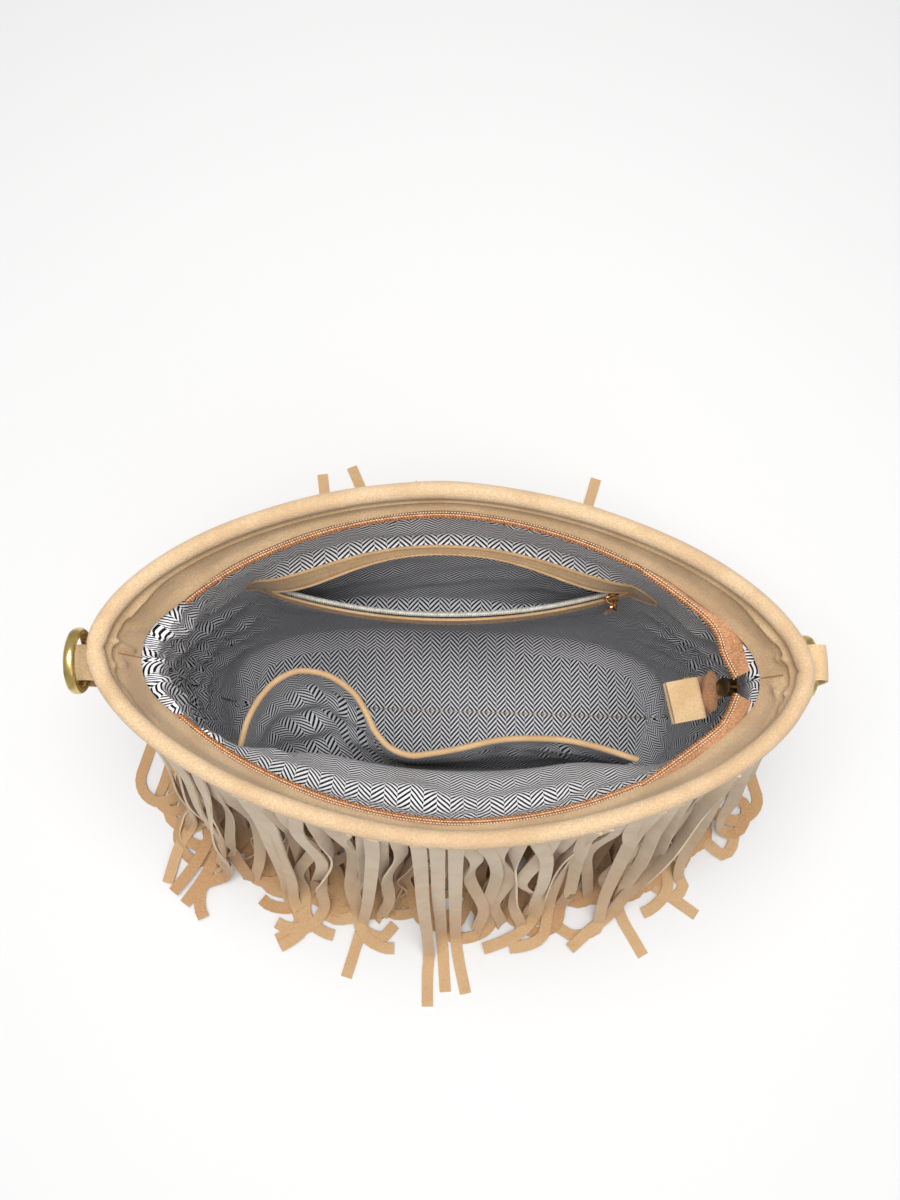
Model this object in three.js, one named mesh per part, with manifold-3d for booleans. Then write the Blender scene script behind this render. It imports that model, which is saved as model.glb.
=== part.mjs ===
// Fringed suede bag with a zipped top, standing open: suede shell, striped lining, pockets and ring tabs.
// Millimetres, +Z up, +X to the bag's right end, +Y to its back. The origin is the middle of the base.
import * as THREE from 'three';
import { mergeVertices } from 'three/addons/utils/BufferGeometryUtils.js';
import Module from 'manifold-3d';

const wasm = await Module();
wasm.setup();

// Driving dimensions
const GAP = 0.3; // clearance between pieces that touch
const SUEDE = 1.6;
const CLOTH = 0.8;
const ROLL = { z: 295.5, radius: 4.5, inset: 2 };
const RIM = { halfWidth: 171.5, halfDepth: 86, power: 1.75 };
const FOOT = { halfWidth: 160, halfDepth: 60, power: 3.2 };
const BELLY = 3; // how far the wall swells out half way up
const SKEW = 0.035; // the opening leans round by this slope
const BASE = { thickness: 2.4 };
const ZIP_LINE = { z: 280, fall: 16, inset: 5, spread: 9 }; // where the facing ends: middle, and change at the ends
const COIL_RADIUS = 1.5;
const SLIDER = { x: 142, y: -9, z: 255, tilt: 0.36, length: 11, width: 10, plate: 1.3, space: 4 };
const SLIDER_TRAVEL = 9;
const PULL = { width: 6.4, length: 16, thickness: 1.2, eyeWidth: 3.9, eyeLength: 6 };
const END_TAB = { x: 123, y: -12, z: 232, length: 19, width: 22, thickness: 6 };
const SLIT = { halfWidth: 100, low: 193, shoulder: 203, rise: 17 };
const WELT = { halfWidth: 116, low: 181, shoulder: 210, rise: 21 };
const WELT_SHEET = { top: 244, low: 174, rows: 12, columns: 16 };
const COLUMNS = 24; // of the shell's and the lining's sheets, end to end
const BACK_ROWS = { above: 2, beside: WELT_SHEET.rows, below: 5, floor: 2 };
const FRONT_ROWS = { above: 6, beside: 10, below: 14, floor: 2 };
const POUCH = { halfWidth: 96, top: 234, fold: 104, turn: 0.25 };
const LIP = { y: 38, radius: 341 }; // the slit's lower lip is an arc about a far upright axis
const POCKET_SLIDER = { x: 92, length: 9, plate: 1.1, space: 4, low: 193.6, top: 199.5, bridge: 6.5 };
const POCKET_PULL = { outer: 3.8, inner: 2.6, reach: 7.9, length: 22, width: 7, thickness: 1.4 };
const SLIP = { z: 213, low: 95, left: -115, divider: -22, right: 102, y: -41, bulge: 45, ripple: 7, sag: 26 };
const FRINGE = { thickness: 2.6, outerTop: 288, innerTop: 176, outerSpread: 62, innerSpread: 38, run: 18, reach: 24 };
const RING = { outer: 16, inner: 12, width: 5.3 };
const LOOP = { x: 178.2, z: 280, width: 17, innerRadius: 5.1, thickness: 1.4, stem: 32 };
const RING_REACH = 12.2; // from the loop's middle to the ring's middle

const material = (color, roughness, metalness = 0) =>
  new THREE.MeshStandardMaterial({ color, roughness, metalness });
const suede = material(0xdcbf98, 0.95);
const innerSuede = material(0xb79a78, 0.95);
const lining = material(0x8a8a8c, 0.8);
const tape = material(0xa87a58, 0.85);
const coil = material(0xb9773e, 0.45);
const paleCoil = material(0xd8d3c8, 0.45);
const brass = material(0xb79a55, 0.3, 1);
const darkBrass = material(0x5a4a35, 0.4, 1);
const roseGold = material(0xc98a4b, 0.3, 1);

const bag = new THREE.Group();

function add(name, geometry, finish) {
  const mesh = new THREE.Mesh(geometry, finish);
  mesh.name = name;
  bag.add(mesh);
  return mesh;
}

// Six times the signed volume of a triangle mesh; it is negative when the faces point inwards.
function signedVolume(geometry) {
  const [a, b, c] = [new THREE.Vector3(), new THREE.Vector3(), new THREE.Vector3()];
  const index = geometry.index.array;
  let sum = 0;
  for (let i = 0; i < index.length; i += 3) {
    a.fromBufferAttribute(geometry.attributes.position, index[i]);
    b.fromBufferAttribute(geometry.attributes.position, index[i + 1]);
    c.fromBufferAttribute(geometry.attributes.position, index[i + 2]);
    sum += a.dot(b.cross(c));
  }
  return sum;
}

function weld(geometry) {
  const welded = geometry.clone();
  welded.deleteAttribute('normal');
  welded.deleteAttribute('uv');
  return mergeVertices(welded, 1e-4);
}

// A slab of columns by rows, carried to its place: u runs along, v runs down, w runs through its thickness.
function bent(columns, rows, place) {
  const geometry = weld(new THREE.BoxGeometry(1, 1, 1, columns, rows, 1));
  const position = geometry.attributes.position;
  for (let i = 0; i < position.count; i++) {
    const u = position.getX(i) + 0.5;
    const v = 0.5 - position.getY(i);
    const w = position.getZ(i) + 0.5;
    position.setXYZ(i, ...place(u, v, w));
  }
  if (signedVolume(geometry) < 0) geometry.index.array.reverse();
  return geometry;
}

function solid(geometry) {
  const welded = weld(geometry);
  return new wasm.Manifold(new wasm.Mesh({
    numProp: 3,
    vertProperties: welded.attributes.position.array,
    triVerts: Uint32Array.from(welded.index.array),
  }));
}

function meshed(manifold) {
  const mesh = manifold.getMesh();
  const geometry = new THREE.BufferGeometry();
  geometry.setAttribute('position', new THREE.BufferAttribute(mesh.vertProperties, 3));
  geometry.setIndex(new THREE.BufferAttribute(mesh.triVerts, 1));
  return geometry;
}

function tube(points, radius, steps, sides = 8) {
  const circle = new THREE.Shape();
  circle.absarc(0, 0, radius, 0, 2 * Math.PI);
  const extrudePath = new THREE.CatmullRomCurve3(points.map((p) => new THREE.Vector3(...p)), false, 'centripetal');
  return new THREE.ExtrudeGeometry(circle, { steps, extrudePath, curveSegments: sides / 2 });
}

const lerp = THREE.MathUtils.lerp;
const smooth = (x, low, high) => THREE.MathUtils.smoothstep(x, low, high);
const samples = (count, f) => Array.from({ length: count + 1 }, (_, i) => f(i / count));

// A level section of the bag's wall: a superellipse that goes from a flat-sided foot to a pointed oval rim.
function section(z, inset = 0) {
  const t = THREE.MathUtils.clamp(z / ROLL.z, 0, 1);
  const swell = BELLY * Math.sin(Math.PI * t) - inset;
  return {
    a: lerp(FOOT.halfWidth, RIM.halfWidth, t) + swell,
    b: lerp(FOOT.halfDepth, RIM.halfDepth, t) + swell,
    power: RIM.power + (FOOT.power - RIM.power) * (1 - t) ** 1.5,
  };
}

// A point of the wall. A turn of 0 is the right end, a quarter turn is the middle of the back.
function wall(turn, z, inset = 0) {
  const { a, b, power } = section(z, inset);
  const x = RIM.halfWidth * Math.cos(turn);
  const y = RIM.halfDepth * Math.sin(turn);
  const scale = (Math.abs(x / a) ** power + Math.abs(y / b) ** power) ** (-1 / power);
  return [x * scale, y * scale - SKEW * x * scale, z];
}

// How far back the wall is at a given x and z.
function backY(x, z, inset) {
  const { a, b, power } = section(z, inset);
  return b * (1 - Math.abs(x / a) ** power) ** (1 / power) - SKEW * x;
}

// The two halves of the bag meet at the ends, where side seams join them.
const SEAM = 0.4 / RIM.halfDepth;
const ROLL_END = 3 * SEAM; // the roll's ends stop a little short of the side seam
const BACK = { name: 'back', from: SEAM, to: Math.PI - SEAM };
const FRONT = { name: 'front', from: Math.PI + SEAM, to: 2 * Math.PI - SEAM };
const HALVES = [FRONT, BACK];
const turnAt = (half, u) => lerp(half.from, half.to, u);
const endness = (turn) => Math.cos(turn) ** 2;
const zipZ = (turn) => ZIP_LINE.z - ZIP_LINE.fall * endness(turn);
const zipInset = (turn) => ZIP_LINE.inset + ZIP_LINE.spread * endness(turn);

// How far the back lining hangs in from the wall at the zipped pocket, where its lower lip droops as an arc.
function lipY(x) {
  return LIP.y + LIP.radius - Math.sqrt(LIP.radius ** 2 - Math.min(Math.abs(x), 200) ** 2);
}

function backBulge(x, y, z) {
  const across = 1 - smooth(Math.abs(x), 96, 140);
  const down = (1 - smooth(z, 197, 240)) * smooth(z, 15, 185);
  return Math.max(0, y - lipY(x)) * across * down;
}

function frontBulge(x, z) {
  return SLIP.sag * (1 - smooth(Math.abs(x), 60, 150)) * smooth(z, 20, 120) * (1 - smooth(z, 200, 262));
}

function liningInset(turn, z) {
  return lerp(2.4, zipInset(turn) + 1.4, smooth(z, 120, zipZ(turn) - 4));
}

// The lining's wall: it hangs from the zip, loose of the suede, and reaches the floor of the bag.
function liningWall(turn, z, offset) {
  const inset = liningInset(turn, z);
  const [bareX, bareY] = wall(turn, z, inset);
  const [x, y] = wall(turn, z, inset + offset);
  if (Math.sin(turn) > 0) return [x, y - backBulge(bareX, bareY, z), z];
  return [x, y + frontBulge(bareX, z), z];
}

const FLOOR = BASE.thickness + GAP + 1;
const FLOOR_TAPER = 0.03; // the floor's middle seam is that much shorter than the lining is wide

// A half of the lining, by rows: down to the welt, along it, down to the floor, and across to the middle
// seam. The rows that the welt lies on are its own, so that the two follow each other.
function liningHalf(half, rows) {
  const steps = [0, rows.above, rows.beside, rows.below, rows.floor];
  const ends = steps.map((_, i) => steps.slice(0, i + 1).reduce((sum, n) => sum + n));
  const total = ends[4];
  return bent(COLUMNS, total, (u, v, w) => {
    const turn = turnAt(half, u);
    const row = Math.round(v * total);
    const heights = [zipZ(turn) - 4, WELT_SHEET.top, WELT_SHEET.low, FLOOR + w * CLOTH, FLOOR + w * CLOTH];
    const part = Math.max(1, ends.findIndex((end) => row <= end));
    const share = (row - ends[part - 1]) / steps[part];
    const z = lerp(heights[part - 1], heights[part], share);
    const [x, y] = liningWall(turn, z, w * CLOTH);
    const seam = (half === BACK ? GAP : -GAP) - SKEW * x;
    const across = part === 4 ? share : 0;
    return [x * (1 - FLOOR_TAPER * across), lerp(y, seam, across), z];
  });
}

// An upright prism along Y through a leaf outline: straight low edge, high edge bowed up in the middle.
function leafPrism({ halfWidth, low, shoulder, rise }) {
  const leaf = new THREE.Shape();
  leaf.moveTo(-halfWidth, low);
  leaf.lineTo(halfWidth, low);
  const arch = samples(16, (t) => [lerp(halfWidth, -halfWidth, t), shoulder + rise * (1 - (2 * t - 1) ** 2)]);
  arch.forEach(([x, z]) => leaf.lineTo(x, z));
  const prism = new THREE.ExtrudeGeometry(leaf, { depth: 120, bevelEnabled: false });
  prism.rotateX(Math.PI / 2);
  return solid(prism.translate(0, 120, 0));
}

function makeShell() {
  for (const half of HALVES) {
    const top = ROLL.z - ROLL.radius - GAP;
    add(`body_${half.name}`, bent(COLUMNS, 5, (u, v, w) =>
      wall(turnAt(half, u), lerp(top, BASE.thickness + GAP, v), w * SUEDE)), suede);
    const rollPoints = samples(28, (u) => wall(lerp(half.from + ROLL_END, half.to - ROLL_END, u), ROLL.z, ROLL.inset));
    add(`rim_roll_${half.name}`, tube(rollPoints, ROLL.radius, 32), suede);
    add(`facing_${half.name}`, bent(COLUMNS, 2, (u, v, w) => {
      const turn = turnAt(half, u);
      const inset = lerp(SUEDE + GAP, zipInset(turn), v) + w * 1.2;
      return wall(turn, lerp(top, zipZ(turn), v), inset);
    }), innerSuede);
    add(`lining_${half.name}_whole`, liningHalf(half, half === BACK ? BACK_ROWS : FRONT_ROWS), lining);
  }
  const outline = new THREE.Shape(samples(63, (t) => {
    const [x, y] = wall(2 * Math.PI * t, 0);
    return new THREE.Vector2(x, y);
  }).slice(0, -1));
  add('base_panel', new THREE.ExtrudeGeometry(outline, { depth: BASE.thickness, bevelEnabled: false }), suede);
}

// Cuts the zipped pocket's slit in the back lining, and the suede welt that frames it.
function makeZippedPocket() {
  const slit = leafPrism(SLIT);
  for (const half of HALVES) {
    const whole = bag.getObjectByName(`lining_${half.name}_whole`);
    bag.remove(whole);
    const cut = half === BACK ? meshed(solid(whole.geometry).subtract(slit)) : whole.geometry;
    add(`lining_${half.name}`, cut, lining);
  }
  const sheet = solid(bent(WELT_SHEET.columns, WELT_SHEET.rows, (u, v, w) => {
    const turn = turnAt(BACK, 0.5 + (u - 0.5) * WELT_SHEET.columns / COLUMNS);
    return liningWall(turn, lerp(WELT_SHEET.top, WELT_SHEET.low, v), CLOTH + GAP + (1 - w) * 1.3);
  }));
  add('pocket_welt', meshed(sheet.intersect(leafPrism(WELT)).subtract(slit)), innerSuede);

  const upper = samples(14, (t) => {
    const x = lerp(-SLIT.halfWidth + 4, SLIT.halfWidth - 4, t);
    const z = SLIT.shoulder + SLIT.rise * (1 - (x / SLIT.halfWidth) ** 2) - COIL_RADIUS - GAP;
    return [x, slitY(x, z), z];
  });
  add('pocket_zip_upper', tube(upper, COIL_RADIUS, 20, 6), paleCoil);
  const lower = samples(14, (t) => {
    const x = lerp(-SLIT.halfWidth + 4, SLIT.halfWidth - 2, t);
    return [x, lipY(x) + 1.4, SLIT.low + GAP + COIL_RADIUS];
  });
  add('pocket_zip_lower', tube(lower, COIL_RADIUS, 20, 6), paleCoil);

  // The pouch behind the lining: its back sheet hangs from the top of the slit, folds, and comes up to the lip.
  add('pocket_pouch', bent(14, 12, (u, v, w) => {
    const x = lerp(-POUCH.halfWidth, POUCH.halfWidth, u);
    const [y, z] = pouchLine(x, v);
    const [ahead, above] = pouchLine(x, v + 0.01);
    const length = Math.hypot(ahead - y, above - z);
    const offset = (w - 0.5) * CLOTH / length;
    return [x, y + (above - z) * offset, z - (ahead - y) * offset];
  }), lining);
}

// The pouch's section at x: down its back from v = 0, round the fold, and up its front to v = 1.
function pouchLine(x, v) {
  const { top, fold, turn } = POUCH;
  const back = Math.min(v / (1 - turn) * 2, 1);
  const front = Math.max((v - 1) / (1 - turn) * 2 + 1, 0);
  const around = THREE.MathUtils.clamp((v - (1 - turn) / 2) / turn, 0, 1);
  const z = v < 0.5 ? lerp(top, fold, back) : lerp(fold, SLIT.low - 6, front);
  const skin = backY(x, z, SUEDE + 1.4);
  const lip = slitY(x, z) + 1.4;
  return [lerp(skin, lip, around), z - 4 * Math.sin(Math.PI * around)];
}

// How far back the lining is at a given x and z.
function slitY(x, z) {
  const turn = Math.acos(x / RIM.halfWidth);
  const y = backY(x, z, liningInset(turn, z));
  return y - backBulge(x, y, z);
}

// The open halves of the top zip follow the facing, then leave the wall at the right end for the slider.
function makeTopZip() {
  const mouth = sliderPoint(SLIDER.length / 2 + 1);
  for (const half of HALVES) {
    const sign = half === BACK ? 1 : -1;
    const leave = 0.74; // share of the half's length, from the left end, at which the coil leaves the wall
    const start = 0.13;
    const onWall = samples(18, (t) => {
      const u = half === BACK ? 1 - lerp(start, leave, t) : lerp(start, leave, t);
      const turn = turnAt(half, u);
      return wall(turn, zipZ(turn) - 2.2, zipInset(turn) + 4);
    });
    const free = [
      [131, lerp(SLIDER.y, 0, 0.5) + sign * 28, 267],
      [139, SLIDER.y + sign * 15, 264],
      [mouth[0], SLIDER.y + sign * 4, mouth[2] + 3],
    ];
    add(`top_zip_coil_${half.name}`, tube([...onWall, ...free], COIL_RADIUS, 40, 6), coil);
    add(`top_zip_tape_${half.name}`, bent(24, 1, (u, v, w) => {
      const turn = turnAt(half, half === BACK ? 1 - lerp(start, leave, u) : lerp(start, leave, u));
      const inset = lerp(zipInset(turn) - 0.6, zipInset(turn) + 0.4, v) - w * 0.6;
      return wall(turn, lerp(zipZ(turn) - GAP, zipZ(turn) - 7, v), inset);
    }), tape);
  }

  // The closed chain with its tapes, below the slider: straight for the slider's travel, then a curl.
  const line = [
    sliderPoint(-SLIDER.length / 2 + 1),
    sliderPoint(-SLIDER.length / 2 - SLIDER_TRAVEL),
    sliderPoint(-SLIDER.length / 2 - SLIDER_TRAVEL - 6),
    [134, -11, 226],
    [END_TAB.x + END_TAB.length / 2 + 1.5, END_TAB.y + 0.5, END_TAB.z - 1],
  ];
  const route = new THREE.CatmullRomCurve3(line.map((p) => new THREE.Vector3(...p)), false, 'centripetal');
  add('zip_tail', bent(1, 16, (u, v, w) => {
    const centre = route.getPointAt(v);
    const tangent = route.getTangentAt(v);
    const normal = new THREE.Vector3(0, 1, 0).cross(tangent).normalize();
    const point = centre.addScaledVector(normal, (w - 0.5) * 2.4);
    return [point.x, point.y + (u - 0.5) * 8, point.z];
  }), tape);

  const tab = new THREE.BoxGeometry(END_TAB.length, END_TAB.width, END_TAB.thickness, 1, 1, 1);
  const placed = add('zip_end_tab', tab, innerSuede);
  placed.position.set(END_TAB.x - 1, END_TAB.y, END_TAB.z);
  placed.rotation.set(0.12, 0.2, -0.18);
  makeTopSlider();
}

// A point on the slider's own axis, measured from its middle towards its mouth.
function sliderPoint(along) {
  const { x, y, z, tilt } = SLIDER;
  return [x + Math.sin(tilt) * along, y, z + Math.cos(tilt) * along];
}

function joined(...geometries) {
  return meshed(geometries.map(solid).reduce((whole, piece) => whole.add(piece)));
}

function box(x, y, z, cx = 0, cy = 0, cz = 0) {
  return new THREE.BoxGeometry(x, y, z).translate(cx, cy, cz);
}

function makeTopSlider() {
  const { length, width, plate, space, tilt } = SLIDER;
  const off = (space + plate) / 2;
  const neck = 2.4;
  const slider = add('top_zip_slider', joined(
    box(plate, width, length, off, 0, 0),
    box(plate, width, length, -off, 0, 0),
    box(space + plate, 2, neck, 0, 0, length / 2 - neck / 2),
    box(2.6, 3, 1.2, off + 1.3, 0, 3.4),
    box(2.6, 3, 1.2, off + 1.3, 0, -3.4),
    box(1, 3, 8, off + 3.1, 0, 0),
  ), darkBrass);
  slider.position.set(SLIDER.x, SLIDER.y, SLIDER.z);
  slider.rotation.y = tilt;

  const outline = rectangle(-PULL.width / 2, PULL.width / 2, -PULL.length, PULL.thickness / 2);
  outline.holes.push(rectangle(-PULL.eyeWidth / 2, PULL.eyeWidth / 2, -PULL.eyeLength, -PULL.thickness / 2));
  const sheet = new THREE.ExtrudeGeometry(outline, { depth: PULL.thickness, bevelEnabled: false });
  const pull = add('top_zip_pull', sheet.translate(0, 0, -PULL.thickness / 2), darkBrass);
  const pin = off + 1.62; // from the slider's middle out to the pin under its bridge
  pull.position.set(SLIDER.x + Math.cos(tilt) * pin, SLIDER.y, SLIDER.z - Math.sin(tilt) * pin);
  pull.rotation.set(Math.PI / 2, 0, Math.PI / 2, 'ZYX');
}

function rectangle(left, right, low, high) {
  return new THREE.Shape([
    new THREE.Vector2(left, low),
    new THREE.Vector2(right, low),
    new THREE.Vector2(right, high),
    new THREE.Vector2(left, high),
  ]);
}

function ringPlate(outer, inner, depth) {
  const shape = new THREE.Shape();
  shape.absarc(0, 0, outer, 0, 2 * Math.PI);
  const hole = new THREE.Path();
  hole.absarc(0, 0, inner, 0, 2 * Math.PI, true);
  shape.holes.push(hole);
  const geometry = new THREE.ExtrudeGeometry(shape, { depth, bevelEnabled: false, curveSegments: 8 });
  return geometry.translate(0, 0, -depth / 2);
}

// The pocket's slider straddles the lower coil; its ring and leather puller hang inside the bag.
function makePocketSlider() {
  const { x, length, plate, space, low, top, bridge } = POCKET_SLIDER;
  const heading = Math.asin(x / LIP.radius);
  const place = (mesh) => {
    mesh.position.set(x, lipY(x) + COIL_RADIUS - 0.1, 0);
    mesh.rotation.z = heading;
  };
  const middle = (low + top) / 2;
  const off = (space + plate) / 2;
  const barZ = 197.5;
  const front = -space / 2 - plate;
  place(add('pocket_slider', joined(
    box(length, plate, top - low, 0, off, middle),
    box(length, plate, top - low, 0, -off, middle),
    box(3, space + plate, 2.3, 0, 0, top - 1.15),
    box(1.2, bridge + front + 0.5, 1.2, 3.2, (front - bridge) / 2, barZ),
    box(1.2, bridge + front + 0.5, 1.2, -3.2, (front - bridge) / 2, barZ),
    box(7.6, 1, 1.2, 0, -bridge, barZ),
  ), roseGold));

  const { outer, inner, reach, width, thickness } = POCKET_PULL;
  const ringZ = barZ - 1;
  place(add('pocket_pull', joined(
    ringPlate(outer, inner, 1.2).rotateY(Math.PI / 2).translate(0, -reach, ringZ),
    box(width, thickness, POCKET_PULL.length, 0, -reach, ringZ - inner - 0.6 - POCKET_PULL.length / 2),
  ), roseGold));
}

// How far forward the front lining's face is at a given x and z.
function frontFaceY(x, z) {
  const turn = Math.acos(x / RIM.halfWidth);
  const { a, b, power } = section(z, liningInset(turn, z) + CLOTH);
  return -b * (1 - Math.abs(x / a) ** power) ** (1 / power) - SKEW * x + frontBulge(x, z);
}

// The slip pockets' top edge: a wide open compartment at the left, then a nearly flat one.
function slipEdge(u) {
  const split = 0.45;
  const { left, divider, right, y, bulge, ripple } = SLIP;
  if (u < split) {
    const t = u / split;
    return [lerp(left, divider, t ** 1.5), y + bulge * Math.sin(Math.PI * t)];
  }
  const t = (u - split) / (1 - split);
  return [lerp(divider, right, t), y + ripple * Math.sin(Math.PI * t) - 3 * t];
}

function makeSlipPockets() {
  add('slip_pocket', bent(22, 5, (u, v, w) => {
    const [x, edgeY] = slipEdge(u);
    const z = lerp(SLIP.z, SLIP.low, v);
    const face = frontFaceY(x, z) + 1.3;
    return [x, Math.max(face, lerp(edgeY, face, v ** 1.6)) + w * CLOTH, z];
  }), lining);
  const edge = samples(26, (u) => {
    const [x, y] = slipEdge(u);
    const z = SLIP.z + 1.4 + GAP;
    return [x, Math.max(frontFaceY(x, z) + 2, y + CLOTH / 2), z];
  });
  add('slip_pocket_binding', tube(edge, 1.4, 30, 6), suede);
}

// A fringe tier as one flared sheet: it hangs from the wall, leans out to the table and runs out along it.
function fringeTier(front, top, spread, reach) {
  const inset = Math.PI / 9;
  const from = front ? Math.PI + inset : inset;
  const slope = 0.75; // share of the rows above the table
  const line = (turn, v) => {
    if (v <= slope) return [GAP + spread * (v / slope) ** 1.15, lerp(top, 5, v / slope)];
    const along = (v - slope) / (1 - slope);
    const out = FRINGE.run + reach * Math.abs(Math.sin(turn)) ** 3;
    return [GAP + spread + out * along, 5 * (1 - along) ** 2];
  };
  return bent(20, 7, (u, v, w) => {
    const turn = lerp(from, from + Math.PI - 2 * inset, u);
    const step = 0.001;
    const [x, y] = wall(turn, top);
    const [xBefore, yBefore] = wall(turn - step, top);
    const [xAfter, yAfter] = wall(turn + step, top);
    const along = Math.hypot(xAfter - xBefore, yAfter - yBefore);
    const [nx, ny] = [(yAfter - yBefore) / along, (xBefore - xAfter) / along];
    const [d, z] = line(turn, v);
    const [dBelow, zBelow] = line(turn, Math.min(1, v + step));
    const [dAbove, zAbove] = line(turn, Math.max(0, v - step));
    const length = Math.hypot(dBelow - dAbove, zBelow - zAbove);
    const out = d + w * FRINGE.thickness * (zAbove - zBelow) / length;
    const up = z + w * FRINGE.thickness * (dBelow - dAbove) / length;
    return [x + nx * out, y + ny * out, up];
  });
}

function makeFringe() {
  for (const front of [true, false]) {
    const side = front ? 'front' : 'back';
    add(`fringe_${side}_outer`, fringeTier(front, FRINGE.outerTop, FRINGE.outerSpread, FRINGE.reach), suede);
    add(`fringe_${side}_inner`, fringeTier(front, FRINGE.innerTop, FRINGE.innerSpread, 0), innerSuede);
  }
}

// A suede strap at each end is folded round a ring; both of its leaves run down the wall.
function makeRings() {
  const { x, z, width, innerRadius, thickness, stem } = LOOP;
  for (const side of [-1, 1]) {
    const name = side < 0 ? 'left' : 'right';
    const outerRadius = innerRadius + thickness;
    const wallSide = -outerRadius;
    const profile = new THREE.Shape();
    profile.moveTo(wallSide, -stem);
    profile.lineTo(wallSide + 2 * thickness, -stem);
    const meet = Math.acos((wallSide + 2 * thickness) / outerRadius);
    profile.absarc(0, 0, outerRadius, -meet, Math.PI, false);
    const hole = new THREE.Path();
    hole.absarc(0, 0, innerRadius, 0, 2 * Math.PI, true);
    profile.holes.push(hole);
    const strap = new THREE.ExtrudeGeometry(profile, { depth: width, bevelEnabled: false, curveSegments: 8 });
    const tab = add(`side_tab_${name}`, strap.translate(0, 0, -width / 2), suede);
    tab.rotation.set(Math.PI / 2, 0, side < 0 ? Math.PI : 0, 'ZYX');
    tab.position.set(side * x, 0, z);

    const radius = (RING.outer + RING.inner) / 2;
    const section = samples(8, (t) => new THREE.Vector2(
      radius + (RING.outer - RING.inner) / 2 * Math.cos(2 * Math.PI * t),
      RING.width / 2 * Math.sin(2 * Math.PI * t),
    ));
    const ring = add(`ring_${name}`, new THREE.LatheGeometry(section, 28), brass);
    ring.rotation.z = Math.PI / 2;
    ring.position.set(side * x, 0, z - side * RING_REACH);
  }
}

makeShell();
makeZippedPocket();
makeTopZip();
makePocketSlider();
makeSlipPockets();
makeFringe();
makeRings();

export default bag;
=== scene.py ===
"""Fringed suede shoulder bag, standing open and empty: the visible model round its CAD frame.

All shape functions work in millimetres and return whole numpy arrays. A piece becomes metres when it is published.
"""

import logging
import math
from collections.abc import Sequence
from dataclasses import dataclass, field
from enum import Enum

import bpy
import numpy as np
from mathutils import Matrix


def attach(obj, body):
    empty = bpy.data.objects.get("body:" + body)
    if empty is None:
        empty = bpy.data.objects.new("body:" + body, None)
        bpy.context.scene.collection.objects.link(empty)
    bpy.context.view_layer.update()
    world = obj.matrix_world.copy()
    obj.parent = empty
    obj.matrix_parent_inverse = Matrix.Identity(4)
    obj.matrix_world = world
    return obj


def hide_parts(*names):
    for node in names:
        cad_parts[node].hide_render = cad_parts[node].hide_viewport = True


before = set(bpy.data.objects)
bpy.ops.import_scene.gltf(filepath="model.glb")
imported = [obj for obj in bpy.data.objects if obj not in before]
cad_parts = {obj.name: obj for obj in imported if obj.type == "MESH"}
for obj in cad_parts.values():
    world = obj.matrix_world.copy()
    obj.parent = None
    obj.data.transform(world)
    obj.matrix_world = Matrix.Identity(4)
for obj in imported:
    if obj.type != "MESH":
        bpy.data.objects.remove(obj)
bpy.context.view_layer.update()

LOG = logging.getLogger("fringed_bag")
MM = 0.001
TAU = 2 * math.pi
UP = np.array([0.0, 0.0, 1.0])


class Side(Enum):
    """A wall of the bag; the value is the sign of its Y."""

    FRONT = -1
    BACK = 1


class Layer(Enum):
    """Which surface of a cut sheet a face belongs to; the value is written to the mesh."""

    FACE = 0.0
    EDGE = 0.5
    BACK = 1.0


# ---------------------------------------------------------------- small numpy tools


def lerp(a, b, t):
    """Straight line from a to b."""
    return a + (b - a) * t


def smooth(x, low: float, high: float):
    """Rises from 0 at low to 1 at high with flat ends: 3t squared less 2t cubed."""
    t = np.clip((x - low) / (high - low), 0, 1)
    return t * t * (3 - 2 * t)


def unit(v: np.ndarray) -> np.ndarray:
    """Vectors scaled to length one."""
    return v / np.maximum(np.linalg.norm(v, axis=-1, keepdims=True), 1e-12)


def along(path: np.ndarray, closed: bool = False) -> np.ndarray:
    """Unit tangents of a path from the difference of its neighbours.

    Args:
        path: points, stations on the second-last axis.
        closed: True if the last point joins the first.

    Returns:
        One unit vector a point.
    """
    if closed:
        return unit(np.roll(path, -1, axis=-2) - np.roll(path, 1, axis=-2))
    return unit(np.gradient(path, axis=-2))


def run_length(path: np.ndarray, axis: int = 0) -> np.ndarray:
    """Distance travelled along an axis of a grid of points, starting at 0."""
    steps = np.linalg.norm(np.diff(path, axis=axis), axis=-1)
    shape = list(steps.shape)
    shape[axis] = 1
    return np.concatenate([np.zeros(shape), np.cumsum(steps, axis=axis)], axis=axis)


def waves(u, v, seed: int, wavelength: float, count: int = 6) -> np.ndarray:
    """Soft unevenness: the mean of sines in random directions, about -1 to 1.

    Args:
        u, v: coordinates on the cloth, in mm.
        seed: picks the directions and phases.
        wavelength: middle wavelength in mm; each sine has 0.6 to 1.6 of it.
        count: number of sines.

    Returns:
        An array like u.
    """
    rng = np.random.default_rng(seed)
    total = np.zeros(np.broadcast(u, v).shape)
    for _ in range(count):
        heading, phase = rng.uniform(0, math.pi), rng.uniform(0, TAU)
        rate = TAU / (wavelength * rng.uniform(0.6, 1.6))
        total = total + np.sin(rate * (u * math.cos(heading) + v * math.sin(heading)) + phase)
    return total / math.sqrt(count) / 1.4


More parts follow.
